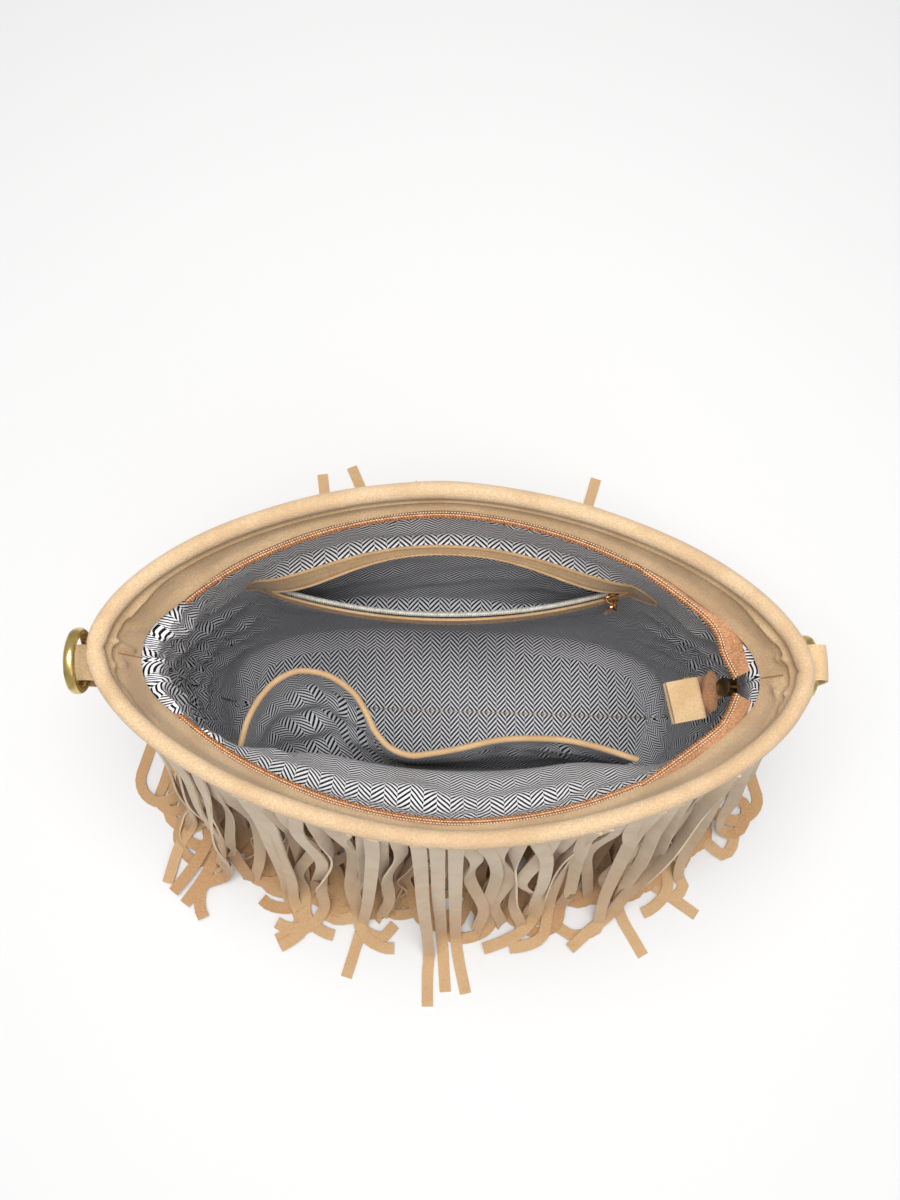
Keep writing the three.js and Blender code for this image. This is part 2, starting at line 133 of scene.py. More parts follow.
def creases(u, v, seed: int, wavelength: float, count: int = 5) -> np.ndarray:
    """Crumpled cloth: crossing ridges, each one less the size of a sine bent by a slower one, squared.

    Args:
        u, v: coordinates on the cloth, in mm.
        seed: picks the directions and phases.
        wavelength: middle distance between ridges, in mm.
        count: number of ridge fields.

    Returns:
        Heights from 0 to 1, shaped like u.
    """
    rng = np.random.default_rng(seed)
    bend = waves(u, v, seed + 100, wavelength * 2.6) * wavelength * 0.35
    total = np.zeros(np.broadcast(u, v).shape)
    for _ in range(count):
        heading, phase = rng.uniform(0, math.pi), rng.uniform(0, TAU)
        rate = math.pi / (wavelength * rng.uniform(0.7, 1.7))
        across = u * math.cos(heading) + v * math.sin(heading) + bend
        total = total + (1 - np.abs(np.sin(rate * across + phase))) ** 2
    return np.clip(total / count * 1.7, 0, 1)


@dataclass(frozen=True)
class Fold:
    """One fold: a ridge that follows a straight line on the cloth and fades past its ends."""

    start: tuple[float, float]
    end: tuple[float, float]
    width: float
    height: float


def folded(u: np.ndarray, v: np.ndarray, folds: Sequence[Fold]) -> np.ndarray:
    """Height of several folds: each is its height times the bell curve of the distance to its line.

    Args:
        u, v: coordinates on the cloth, in mm.
        folds: the folds.

    Returns:
        The sum, in mm.
    """
    total = np.zeros(np.broadcast(u, v).shape)
    for fold in folds:
        run = np.subtract(fold.end, fold.start)
        share = ((u - fold.start[0]) * run[0] + (v - fold.start[1]) * run[1]) / (run @ run)
        share = np.clip(share, 0, 1)
        gap = np.hypot(u - fold.start[0] - share * run[0], v - fold.start[1] - share * run[1])
        total = total + fold.height * np.exp(-((gap / fold.width) ** 2))
    return total


def spline(points: np.ndarray, samples: int) -> np.ndarray:
    """Catmull-Rom curves through the points: each span is the cubic set by its four neighbouring points.

    Args:
        points: (..., stations, 3).
        samples: points to put on each span.

    Returns:
        (..., (stations - 1) * samples + 1, 3).
    """
    first = 2 * points[..., :1, :] - points[..., 1:2, :]
    last = 2 * points[..., -1:, :] - points[..., -2:-1, :]
    p = np.concatenate([first, points, last], axis=-2)
    a, b, c, d = p[..., :-3, None, :], p[..., 1:-2, None, :], p[..., 2:-1, None, :], p[..., 3:, None, :]
    t = np.linspace(0, 1, samples, endpoint=False)[:, None]
    curve = b + 0.5 * t * (c - a + t * (2 * a - 5 * b + 4 * c - d + t * (3 * (b - c) + d - a)))
    curve = curve.reshape(*points.shape[:-2], -1, 3)
    return np.concatenate([curve, points[..., -1:, :]], axis=-2)


def resampled(path: np.ndarray, stations: int, length: float | None = None) -> np.ndarray:
    """A path's points moved to equal distances along it, cut off at a length.

    Args:
        path: (points, 3).
        stations: how many points to return.
        length: where to cut, in mm; the whole path if None.

    Returns:
        (stations, 3).
    """
    travelled = run_length(path)
    goal = np.linspace(0, travelled[-1] if length is None else length, stations)
    return np.stack([np.interp(goal, travelled, path[:, k]) for k in range(3)], axis=-1)


# ---------------------------------------------------------------- closed meshes


@dataclass
class Solid:
    """A closed mesh in mm: quads and triangles, cloth coordinates for each corner and a layer for each face."""

    verts: np.ndarray
    quads: np.ndarray
    quad_uv: np.ndarray
    quad_layer: np.ndarray
    tris: np.ndarray = field(default_factory=lambda: np.zeros((0, 3), int))
    tri_uv: np.ndarray = field(default_factory=lambda: np.zeros((0, 3, 2)))
    tri_layer: np.ndarray = field(default_factory=lambda: np.zeros(0))

    def facing_out(self) -> "Solid":
        """Turns every face over if the enclosed volume, the sum of corner determinants, is negative."""
        v = self.verts - self.verts.mean(axis=0)
        q, t = self.quads, self.tris
        corners = np.concatenate([q[:, [0, 1, 2]], q[:, [0, 2, 3]], t])
        a, b, c = v[corners[:, 0]], v[corners[:, 1]], v[corners[:, 2]]
        if np.einsum("ij,ij->", a, np.cross(b, c)) < 0:
            self.quads, self.quad_uv = q[:, ::-1], self.quad_uv[:, ::-1]
            self.tris, self.tri_uv = t[:, ::-1], self.tri_uv[:, ::-1]
        return self


def joined(solids: Sequence[Solid]) -> Solid:
    """Several closed meshes as one, their point numbers shifted past each other."""
    starts = np.cumsum([0] + [len(s.verts) for s in solids[:-1]])
    return Solid(
        verts=np.concatenate([s.verts for s in solids]),
        quads=np.concatenate([s.quads + n for s, n in zip(solids, starts)]),
        quad_uv=np.concatenate([s.quad_uv for s in solids]),
        quad_layer=np.concatenate([s.quad_layer for s in solids]),
        tris=np.concatenate([s.tris + n for s, n in zip(solids, starts)]),
        tri_uv=np.concatenate([s.tri_uv for s in solids]),
        tri_layer=np.concatenate([s.tri_layer for s in solids]),
    )


def skin(rings: np.ndarray, closed: bool = False, layers: Sequence[float] | None = None) -> Solid:
    """Closed bodies from section rings carried along paths; an open path's ends close on the middle of its end ring.

    Args:
        rings: (stations, section points, 3), or with a leading axis of bodies.
        closed: True if the last ring joins the first.
        layers: the layer of each section side; 0 if None.

    Returns:
        One mesh with every body in it, facing out.
    """
    rings = rings if rings.ndim == 4 else rings[None]
    count, stations, around, _ = rings.shape
    k, i, j = np.meshgrid(
        np.arange(count), np.arange(stations if closed else stations - 1), np.arange(around), indexing="ij"
    )
    i_next, j_next = (i + 1) % stations, (j + 1) % around

    def number(row, column):
        """Point number of a station and a section point."""
        return ((k * stations + row) * around + column).ravel()

    quads = np.stack([number(i, j), number(i, j_next), number(i_next, j_next), number(i_next, j)], axis=1)
    section = rings[:, stations // 2]
    girth = run_length(np.concatenate([section, section[:, :1]], axis=1), axis=1)
    middle = rings.mean(axis=2)
    if closed:
        middle = np.concatenate([middle, middle[:, :1]], axis=1)
    distance = run_length(middle, axis=1)
    corner_u = [girth[k, j], girth[k, j + 1], girth[k, j + 1], girth[k, j]]
    corner_v = [distance[k, i], distance[k, i], distance[k, i + 1], distance[k, i + 1]]
    quad_uv = np.stack([np.stack([u.ravel(), v.ravel()], axis=-1) for u, v in zip(corner_u, corner_v)], axis=1)
    layer = np.zeros(around) if layers is None else np.asarray(layers, float)
    solid = Solid(rings.reshape(-1, 3), quads, quad_uv, layer[j.ravel()])
    if not closed:
        poles = np.stack([rings[:, 0].mean(axis=1), rings[:, -1].mean(axis=1)], axis=1).reshape(-1, 3)
        k2, j2 = np.meshgrid(np.arange(count), np.arange(around), indexing="ij")
        first = (k2 * stations * around + j2).ravel()
        first_next = (k2 * stations * around + (j2 + 1) % around).ravel()
        shift = (stations - 1) * around
        pole = count * stations * around + 2 * k2.ravel()
        solid.tris = np.concatenate([
            np.stack([first_next, first, pole], axis=1),
            np.stack([first + shift, first_next + shift, pole + 1], axis=1),
        ])
        flat = np.stack([girth[k2, j2].ravel(), np.zeros(k2.size)], axis=-1)
        solid.tri_uv = np.repeat(np.concatenate([flat, flat])[:, None], 3, axis=1)
        solid.tri_layer = np.full(len(solid.tris), Layer.EDGE.value if layers is not None else 0.0)
        solid.verts = np.concatenate([solid.verts, poles])
    return solid.facing_out()


def cloth(
    grid: np.ndarray,
    thickness: float,
    uv: np.ndarray | None = None,
    wrap: bool = False,
    keep: np.ndarray | None = None,
) -> Solid:
    """A cut sheet: the grid and a copy moved along the surface normal, joined by strips at every open edge.

    Args:
        grid: (rows, columns, 3) points of the face side.
        thickness: how far the back is moved; negative moves it the other way.
        uv: cloth coordinates, one column more than the grid if it wraps; distances along the grid if None.
        wrap: True if the last column joins the first.
        keep: which of the grid's cells stay; all if None.

    Returns:
        The closed sheet, facing out.
    """
    rows, columns, _ = grid.shape
    padded = np.concatenate([grid[:, -1:], grid, grid[:, :1]], axis=1) if wrap else grid
    across = np.gradient(padded, axis=1)
    across = across[:, 1:-1] if wrap else across
    normal = unit(np.cross(across, np.gradient(grid, axis=0)))
    if uv is None:
        wide = np.concatenate([grid, grid[:, :1]], axis=1) if wrap else grid
        uv = np.stack([run_length(wide, axis=1), run_length(wide, axis=0)], axis=-1)
    cells = columns if wrap else columns - 1
    i, j = (a.ravel() for a in np.meshgrid(np.arange(rows - 1), np.arange(cells), indexing="ij"))
    if keep is not None:
        kept = keep[i, j]
        i, j = i[kept], j[kept]
    corner_i, corner_j = np.stack([i, i, i + 1, i + 1], axis=1), np.stack([j, j + 1, j + 1, j], axis=1)
    face = corner_i * columns + corner_j % columns
    face_uv = uv[corner_i, corner_j]
    size = rows * columns
    start, end = face.ravel(), np.roll(face, -1, axis=1).ravel()
    start_uv, end_uv = face_uv.reshape(-1, 2), np.roll(face_uv, -1, axis=1).reshape(-1, 2)
    open_edge = ~np.isin(start * size + end, end * size + start)
    a, b = start[open_edge], end[open_edge]
    a_uv, b_uv = start_uv[open_edge], end_uv[open_edge]
    rim = np.stack([b, a, a + size, b + size], axis=1)
    solid = Solid(
        verts=np.concatenate([grid.reshape(-1, 3), (grid - normal * thickness).reshape(-1, 3)]),
        quads=np.concatenate([face, face[:, ::-1] + size, rim]),
        quad_uv=np.concatenate([face_uv, face_uv[:, ::-1], np.stack([b_uv, a_uv, a_uv, b_uv], axis=1)]),
        quad_layer=np.repeat([0.0, 1.0, 0.5], [len(face), len(face), len(rim)]),
    )
    if keep is not None:
        used, numbers = np.unique(solid.quads, return_inverse=True)
        solid.verts, solid.quads = solid.verts[used], numbers.reshape(-1, 4)
    return solid.facing_out()


def tube(
    path: np.ndarray, radius, sides: int, closed: bool = False, upward: np.ndarray = UP, flat: float = 1.0
) -> Solid:
    """A round bar: circles carried along a path, in the plane of upward and the path's side direction.

    Args:
        path: (stations, 3), or with a leading axis of bars.
        radius: one number, or one a station.
        sides: corners of the section.
        closed: True if the path joins its own start.
        upward: the section's first axis, one vector or one a station.
        flat: the section's size along upward as a share of its width.

    Returns:
        The closed bar.
    """
    ahead = along(path, closed)
    side = unit(np.cross(ahead, upward))
    top = np.cross(side, ahead)
    angle = np.linspace(0, TAU, sides, endpoint=False)[:, None]
    size = np.asarray(radius, float)
    size = size[..., None, None] if size.ndim else size
    offset = side[..., None, :] * np.cos(angle) + top[..., None, :] * np.sin(angle) * flat
    return skin(path[..., None, :] + offset * size, closed)


def stitches(path: np.ndarray, pitch: float, length: float, radius: float, upward: np.ndarray = UP) -> Solid:
    """A row of stitches: short bars along a path, each arched up in the middle and buried at its ends.

    Args:
        path: (points, 3) where the thread lies.
        pitch: distance from stitch to stitch.
        length: length of one stitch.
        radius: of the thread.
        upward: away from the surface, one vector or one a path point.

    Returns:
        All the stitches as one mesh.
    """
    total = run_length(path)[-1]
    starts = np.arange(pitch / 2, total - length, pitch)
    share = np.linspace(0, 1, 5)
    travelled = run_length(path)
    where = starts[:, None] + share * length
    points = np.stack([np.interp(where, travelled, path[:, k]) for k in range(3)], axis=-1)
    lift = np.broadcast_to(upward, path.shape)
    lift = unit(np.stack([np.interp(where, travelled, lift[:, k]) for k in range(3)], axis=-1))
    arch = (np.sin(math.pi * share) - 0.45) * radius * 1.1
    points = points + lift * arch[:, None]
    swell = radius * np.array([0.55, 0.95, 1.0, 0.95, 0.55])
    ahead = along(points)
    side = unit(np.cross(ahead, lift))
    angle = np.linspace(0, TAU, 6, endpoint=False)[:, None]
    offset = side[..., None, :] * np.cos(angle) + lift[..., None, :] * np.sin(angle)
    return skin(points[..., None, :] + offset * swell[:, None, None])


def coil(path: np.ndarray, upward: np.ndarray, wide: float, high: float, pitch: float, wire: float) -> Solid:
    """A zip's coil: a wire that winds round the path in an oval as it goes.

    Args:
        path: (points, 3) centre line.
        upward: the oval's short axis at each point.
        wide: half of the oval's long axis.
        high: half of its short axis.
        pitch: distance from turn to turn.
        wire: radius of the wire.

    Returns:
        The closed wire.
    """
    total = run_length(path)[-1]
    turns = int(total / pitch)
    count = turns * 9 + 1
    travelled = run_length(path)
    goal = np.linspace(0, total, count)
    centre = np.stack([np.interp(goal, travelled, path[:, k]) for k in range(3)], axis=-1)
    rise = np.broadcast_to(upward, path.shape)
    rise = unit(np.stack([np.interp(goal, travelled, rise[:, k]) for k in range(3)], axis=-1))
    side = unit(np.cross(along(centre), rise))
    angle = (np.arange(count) / 9 * TAU)[:, None]
    outward = side * np.cos(angle) * wide + rise * np.sin(angle) * high
    return tube(centre + outward, wire, 5, upward=unit(outward))


def slab(outline: np.ndarray, heights: Sequence[float], insets: Sequence[float], place: "Place") -> Solid:
    """A plate with rounded edges: its outline drawn in towards the middle at each height.

    Args:
        outline: (points, 2) round the plate.
        heights: of the rings, from one face to the other.
        insets: how far each ring is drawn in.
        place: turns the plate's own axes into the bag's.

    Returns:
        The closed plate.
    """
    centre = outline.mean(axis=0)
    reach = np.linalg.norm(outline - centre, axis=1, keepdims=True)
    rings = [
        np.column_stack([centre + (outline - centre) * (1 - inset / reach), np.full(len(outline), height)])
        for height, inset in zip(heights, insets)
    ]
    return skin(place.points(np.array(rings)))


def rounded(width: float, length: float, power: float = 4.0, count: int = 32) -> np.ndarray:
    """A rounded rectangle: the superellipse whose power says how square it is."""
    angle = np.linspace(0, TAU, count, endpoint=False)
    c, s = np.cos(angle), np.sin(angle)
    return np.column_stack([
        np.sign(c) * np.abs(c) ** (2 / power) * width / 2,
        np.sign(s) * np.abs(s) ** (2 / power) * length / 2,
    ])


def framed(outer: np.ndarray, inner: np.ndarray, thickness: float, edge: float, place: "Place") -> Solid:
    """A plate with a hole: an eight-sided section carried round between two outlines with as many points.

    Args:
        outer: (points, 2) outside outline.
        inner: (points, 2) hole outline, numbered the same way.
        thickness: of the plate.
        edge: radius taken off its corners.
        place: turns the plate's own axes into the bag's.

    Returns:
        The closed plate.
    """
    half, share = thickness / 2, edge / np.maximum(np.linalg.norm(outer - inner, axis=1), 1e-6)[:, None]
    rows = [(0, half - edge), (1, half), (-1, half), (-2, half - edge)]
    rows += [(-2, edge - half), (-1, -half), (1, -half), (0, edge - half)]
    marks = {0: 0 * share, 1: share, -1: 1 - share, -2: 1 + 0 * share}
    section = [np.column_stack([lerp(outer, inner, marks[m]), np.full(len(outer), z)]) for m, z in rows]
    return skin(place.points(np.stack(section, axis=1)), closed=True)


@dataclass(frozen=True)
class Place:
    """Where a small part stands: its origin and its three axes in the bag's frame."""

    origin: tuple[float, float, float]
    x: tuple[float, float, float] = (1, 0, 0)
    y: tuple[float, float, float] = (0, 1, 0)
    z: tuple[float, float, float] = (0, 0, 1)

    def points(self, local: np.ndarray) -> np.ndarray:
        """Local points in the bag's frame: origin plus each coordinate times its axis."""
        return np.asarray(self.origin, float) + local @ np.array([self.x, self.y, self.z], float)


# ---------------------------------------------------------------- finishes


def linear(colour: str) -> tuple[float, float, float, float]:
    """An sRGB hex colour as linear red, green, blue and alpha."""
    values = (int(colour[k:k + 2], 16) / 255 for k in (1, 3, 5))
    red, green, blue = (c / 12.92 if c <= 0.04045 else ((c + 0.055) / 1.055) ** 2.4 for c in values)
    return red, green, blue, 1.0


def add_node(tree: bpy.types.NodeTree, kind: str, settings: dict | None = None, inputs: dict | None = None):
    """Adds one node.

    Args:
        tree: the material's tree.
        kind: the node's type.
        settings: properties to set on the node.
        inputs: socket name or number to a value, or to the output socket that feeds it.

    Returns:
        The node.
    """
    node = tree.nodes.new(kind)
    for key, value in (settings or {}).items():
        setattr(node, key, value)
    for key, value in (inputs or {}).items():
        if isinstance(value, bpy.types.NodeSocket):
            tree.links.new(value, node.inputs[key])
        else:
            node.inputs[key].default_value = value
    return node


class Recipe:
    """The parts that every finish is made from: a Principled surface, coordinates, noises and colour mixes."""

    MIX_FACTOR, MIX_A, MIX_B, MIX_RESULT = 0, 6, 7, 2

    def __init__(self, name: str) -> None:
        """Starts an empty material of that name."""
        self.material = bpy.data.materials.new(name)
        self.material.use_nodes = True
        self.tree = self.material.node_tree
        self.surface = self.tree.nodes["Principled BSDF"]
        self.place = add_node(self.tree, "ShaderNodeTexCoord").outputs["Object"]
        self.cloth = add_node(self.tree, "ShaderNodeTexCoord").outputs["UV"]

    def math(self, operation: str, first, second=0.0, third=0.0):
        """The result socket of a Math node."""
        node = add_node(self.tree, "ShaderNodeMath", {"operation": operation}, {0: first, 1: second, 2: third})
        return node.outputs[0]

    def noise(self, size: float, low: float = 0.35, high: float = 0.65, detail: float = 2.0):
        """Noise with features of a size in mm, stretched so that low gives 0 and high gives 1."""
        inputs = {"Vector": self.place, "Scale": 1 / (size * MM), "Detail": detail}
        raw = add_node(self.tree, "ShaderNodeTexNoise", None, inputs).outputs["Fac"]
        stretched = {"Value": raw, "From Min": low, "From Max": high}
        return add_node(self.tree, "ShaderNodeMapRange", {"interpolation_type": "SMOOTHSTEP"}, stretched).outputs[0]

    def mix(self, factor, a, b):
        """The colour socket of a mix; a and b are hex colours or sockets."""
        a, b = (linear(c) if isinstance(c, str) else c for c in (a, b))
        inputs = {self.MIX_FACTOR: factor, self.MIX_A: a, self.MIX_B: b}
        return add_node(self.tree, "ShaderNodeMix", {"data_type": "RGBA"}, inputs).outputs[self.MIX_RESULT]

    def bump(self, height, depth: float, strength: float = 1.0, under=None):
        """The normal socket of a bump whose height of 1 stands depth mm proud."""
        inputs = {"Height": height, "Distance": depth * MM, "Strength": strength}
        if under is not None:
            inputs["Normal"] = under
        return add_node(self.tree, "ShaderNodeBump", None, inputs).outputs[0]

    def feed(self, **sockets) -> None:
        """Links sockets to the surface; underscores stand for spaces."""
        for name, socket in sockets.items():
            self.tree.links.new(socket, self.surface.inputs[name.replace("_", " ")])

    def fix(self, **values) -> None:
        """Sets the surface's own values; underscores stand for spaces."""
        for name, value in values.items():
            self.surface.inputs[name.replace("_", " ")].default_value = value


@dataclass(frozen=True)
class Suede:
    """Calf split, sanded to a nap: matt and speckled, with darker patches where the nap lies the other way."""

    name: str
    base: str
    light: str
    dark: str
    speckle: float = 1.1
    patch: float = 26.0
    depth: float = 0.22

    def material(self) -> bpy.types.Material:
        """Speckle and mottle over the base colour, nap bump, and a soft sheen."""
        r = Recipe(self.name)
        grain = r.noise(self.speckle, 0.32, 0.68, 3)
        fibre = r.noise(self.speckle * 0.45, 0.3, 0.7, 2)
        colour = r.mix(grain, self.dark, self.light)
        colour = r.mix(0.6, colour, self.base)
        colour = r.mix(r.math("MULTIPLY", r.noise(self.patch, 0.4, 0.62), 0.42), colour, self.dark)
        colour = r.mix(r.math("MULTIPLY", fibre, 0.16), colour, self.light)
        under = r.bump(grain, self.depth, 0.75)
        r.feed(Base_Color=colour, Normal=r.bump(fibre, self.depth * 0.5, 0.6, under))
        r.fix(Roughness=0.93, Specular_IOR_Level=0.18, Sheen_Weight=0.22, Sheen_Roughness=0.55)
        return r.material


@dataclass(frozen=True)
class FringeSuede:
    """Suede cut into strips: pale brushed face above, warm bare split below, and pale fuzzy cut edges; near the rim
    the face is painted paler and greyer as painted light, warming to its own tan down the strip.
    """

    name: str
    # upper is the face colour near the rim with painted light in it: paler and greyer where light falls on the
    # strands' tops.
    upper: str
    lower: str
    split: str
    edge: str
    speckle: float = 1.3

    def material(self) -> bpy.types.Material:
        """The face turns from the upper colour, painted light near the rim, to the lower colour down the strip; layer
        picks face, edge or split side.
        """
        r = Recipe(self.name)
        layer = add_node(r.tree, "ShaderNodeAttribute", {"attribute_name": "layer"}).outputs["Fac"]
        down = add_node(r.tree, "ShaderNodeSeparateXYZ", None, {0: r.cloth}).outputs["Y"]
        fade = add_node(
            r.tree, "ShaderNodeMapRange", {"interpolation_type": "SMOOTHSTEP"},
            {"Value": down, "From Min": 60.0, "From Max": 290.0},
        ).outputs[0]
        grain = r.noise(self.speckle, 0.3, 0.7, 3)
        # Painted light: the face is paler and greyer near the rim and fades to the lower colour from 60 to 290 mm
        # down the strip.
        face = r.mix(fade, self.upper, self.lower)
        colour = r.mix(r.math("GREATER_THAN", layer, 0.75), face, self.split)
        is_edge = r.math("COMPARE", layer, 0.5, 0.1)
        colour = r.mix(is_edge, colour, self.edge)
        colour = r.mix(r.math("MULTIPLY", r.noise(24, 0.4, 0.62), 0.32), colour, self.split)
        colour = r.mix(r.math("MULTIPLY", grain, 0.2), colour, self.edge)
        r.feed(Base_Color=colour, Normal=r.bump(grain, 0.16, 0.6))
        r.fix(Roughness=0.94, Specular_IOR_Level=0.16, Sheen_Weight=0.18, Sheen_Roughness=0.55)
        return r.material


@dataclass(frozen=True)
class Herringbone:
    """Printed cotton twill: black and white broken chevrons, flat and matt, so folds show as bent stripes."""

    name: str
    white: str
    black: str
    period: float = 13.8
    pitch: float = 3.7
    slope: float = 1.14
    black_share: float = 0.47

    def material(self) -> bpy.types.Material:
        """Stripes of distance along a column plus slope times distance from its ridge, half a pitch off each side."""
        r = Recipe(self.name)
        parts = add_node(r.tree, "ShaderNodeSeparateXYZ", None, {0: r.cloth})
        u, v = parts.outputs["X"], parts.outputs["Y"]
        half = self.period / 2
        ridge = r.math("PINGPONG", u, half)
        column = r.math("FLOOR", r.math("DIVIDE", u, half))
        odd = r.math("FLOORED_MODULO", column, 2.0)
        rise = r.math("MULTIPLY_ADD", ridge, self.slope, v)
        stripe = r.math("MULTIPLY_ADD", rise, 1 / self.pitch, r.math("MULTIPLY", odd, 0.5))
        distance = r.math("PINGPONG", stripe, 0.5)
        edge = self.black_share / 2
        white = add_node(
            r.tree, "ShaderNodeMapRange", {"interpolation_type": "SMOOTHSTEP"},
            {"Value": distance, "From Min": edge - 0.035, "From Max": edge + 0.035},
        ).outputs[0]
        colour = r.mix(white, self.black, self.white)
        weave = r.noise(0.55, 0.3, 0.7, 1)
        colour = r.mix(r.math("MULTIPLY", weave, 0.06), colour, self.black)
        r.feed(Base_Color=colour, Normal=r.bump(weave, 0.1, 0.5))
        r.fix(Roughness=0.82, Specular_IOR_Level=0.22, Sheen_Weight=0.06)
        return r.material


@dataclass(frozen=True)
class Woven:
    """Polyester zip tape: a tight plain weave whose yarns catch the light in small dots."""

    name: str
    base: str
    light: str
    dark: str
    yarn: float = 0.85

    def material(self) -> bpy.types.Material:
        """Crossed sines at the yarn's pitch give the dots; noise makes them uneven."""
        r = Recipe(self.name)
        parts = add_node(r.tree, "ShaderNodeSeparateXYZ", None, {0: r.cloth})
        rate = TAU / (2 * self.yarn)
        warp = r.math("SINE", r.math("MULTIPLY", parts.outputs["X"], rate))
        weft = r.math("SINE", r.math("MULTIPLY", parts.outputs["Y"], rate))
        dots = r.math("MULTIPLY_ADD", r.math("MULTIPLY", warp, weft), 0.5, 0.5)
        uneven = r.noise(1.0, 0.3, 0.7, 2)
        colour = r.mix(r.math("MULTIPLY", dots, 0.6), self.base, self.dark)
        colour = r.mix(r.math("MULTIPLY", uneven, 0.65), colour, self.light)
        r.feed(Base_Color=colour, Normal=r.bump(dots, 0.18, 0.8))
        r.fix(Roughness=0.7, Specular_IOR_Level=0.35, Sheen_Weight=0.1)
        return r.material


@dataclass(frozen=True)
class Nylon:
    """Extruded nylon wire or polyester thread: smooth and a little waxy, so each loop has a soft highlight."""

    name: str
    base: str
    dark: str
    roughness: float = 0.42

    def material(self) -> bpy.types.Material:
        """Slow colour drift along the wire under a clear gloss."""
        r = Recipe(self.name)
        r.feed(Base_Color=r.mix(r.noise(2.0, 0.3, 0.7), self.base, self.dark))
        r.fix(Roughness=self.roughness, Specular_IOR_Level=0.45)
        return r.material


@dataclass(frozen=True)
class Plated:
    """Die-cast zinc with brushed brass plating: metal reflections broken by rub marks and darker in the tarnish."""

    name: str
    base: str
    tarnish: str
    roughness: float = 0.28
    wear: float = 0.5

    def material(self) -> bpy.types.Material:
        """Tarnish patches and fine rub marks in colour, roughness and bump."""
        r = Recipe(self.name)
        patches = r.noise(5.0, 0.4, 0.75, 3)
        rubs = r.noise(0.7, 0.3, 0.7, 2)
        rough = r.math("MULTIPLY_ADD", patches, 0.22, self.roughness)
        r.feed(
            Base_Color=r.mix(r.math("MULTIPLY", patches, self.wear), self.base, self.tarnish),
            Roughness=rough,
            Normal=r.bump(rubs, 0.03, 0.35),
        )
        r.fix(Metallic=1.0)
        return r.material


@dataclass(frozen=True)
class Backdrop:
    """Matt painted board: an even pale field that takes a soft contact shadow."""

    name: str
    base: str

    def material(self) -> bpy.types.Material:
        """One pale colour with a trace of unevenness."""
        r = Recipe(self.name)
        r.feed(Base_Color=r.mix(r.math("MULTIPLY", r.noise(300.0), 0.02), self.base, "#E8E8E8"))
        r.fix(Roughness=0.95, Specular_IOR_Level=0.05)
        return r.material


class Palette:
    """Every finish of the bag, made once."""

    def __init__(self) -> None:
        """Makes the materials."""
        self.suede = Suede("suede_sanded_calf", "#C5A884", "#DAC2A0", "#AB8862", 0.85).material()
        self.facing = Suede("suede_facing_sanded_calf", "#C2A47D", "#D3B893", "#A4835E", 0.85).material()
        self.welt = Suede("suede_welt_pressed_calf", "#AA8D6A", "#BCA17D", "#90744F", 0.9, 20, 0.12).material()
        self.piping = Suede("suede_piping_folded_calf", "#C4A076", "#D3B48B", "#A58057", 0.8, 18, 0.1).material()
        self.tab = Suede("suede_tab_folded_calf", "#C9AB81", "#DAC09A", "#B28E65", 0.9, 14, 0.14).material()
        # The fringe's first colour, pale grey beige, is painted light on the strands' tops near the rim; the second
        # is the face's own tan.
        self.fringe = FringeSuede("suede_fringe_cut_calf", "#C0AE93", "#BC9971", "#AE845B", "#DCC6A4").material()
        self.inner_fringe = FringeSuede(
            "suede_inner_fringe_cut_calf", "#B48F66", "#B58E66", "#A97F56", "#D6BC95"
        ).material()
        self.lining = Herringbone("cotton_twill_printed_herringbone", "#E6E6E9", "#0A0A0C").material()
        self.tape = Woven("polyester_tape_woven", "#A5734F", "#C99B73", "#7E5233").material()
        self.coil = Nylon("nylon_coil_extruded", "#B97A42", "#94582B").material()
        self.pale_coil = Nylon("nylon_pale_coil_extruded", "#DAD6CC", "#B9B4A8").material()
        self.pale_tape = Woven("polyester_pale_tape_woven", "#CFCBC2", "#E6E3DB", "#A6A198").material()
        self.thread = Nylon("polyester_thread_spun", "#B58A5C", "#976C42", 0.75).material()
        self.pale_thread = Nylon("polyester_pale_thread_spun", "#F0E4CF", "#D8C6A8", 0.7).material()
        self.ring_brass = Plated("brass_plate_antiqued", "#D9BF78", "#6A5430", 0.24, 0.55).material()
        self.dark_brass = Plated("brass_plate_blackened", "#77634A", "#2E251A", 0.32, 0.6).material()
        self.rose_gold = Plated("rose_gold_plate_polished", "#D9955C", "#8A5430", 0.2, 0.45).material()
        self.floor = Backdrop("painted_board_matt", "#DCDCDC").material()


# ---------------------------------------------------------------- publishing


def publish(
    name: str,
    solid: Solid,
    material: bpy.types.Material,
    body: str,
    stands_for: Sequence[str] = (),
    sharp: float = 45.0,
) -> bpy.types.Object:
    """Makes a mesh object of a solid and hands it to the frame.

    Args:
        name: of the piece.
        solid: closed mesh in mm.
        material: its finish.
        body: the CAD body that it rides on.
        stands_for: CAD nodes that it replaces.
        sharp: edges steeper than this many degrees stay crisp.

    Returns:
        The object, at the origin.
    """
    mesh = bpy.data.meshes.new(name)
    faces = solid.quads.tolist() + solid.tris.tolist()
    mesh.from_pydata((solid.verts * MM).tolist(), [], faces)
    uv = np.concatenate([solid.quad_uv.reshape(-1, 2), solid.tri_uv.reshape(-1, 2)])
    mesh.uv_layers.new(name="cloth_mm").data.foreach_set("uv", uv.ravel().astype(np.float32))
    layer = np.concatenate([solid.quad_layer, solid.tri_layer]).astype(np.float32)
    mesh.attributes.new("layer", "FLOAT", "FACE").data.foreach_set("value", layer)
    mesh.polygons.foreach_set("use_smooth", np.ones(len(faces), bool))
    mesh.set_sharp_from_angle(angle=math.radians(sharp))
    mesh.materials.append(material)
    mesh.update()
    piece = bpy.data.objects.new(name, mesh)
    bpy.context.scene.collection.objects.link(piece)
    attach(piece, body)
    if stands_for:
        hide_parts(*stands_for)
    triangles = 2 * len(solid.quads) + len(solid.tris)
    LOG.info("%s: %d triangles on %s", name, triangles, body)
    return piece


# ---------------------------------------------------------------- the bag's own shape


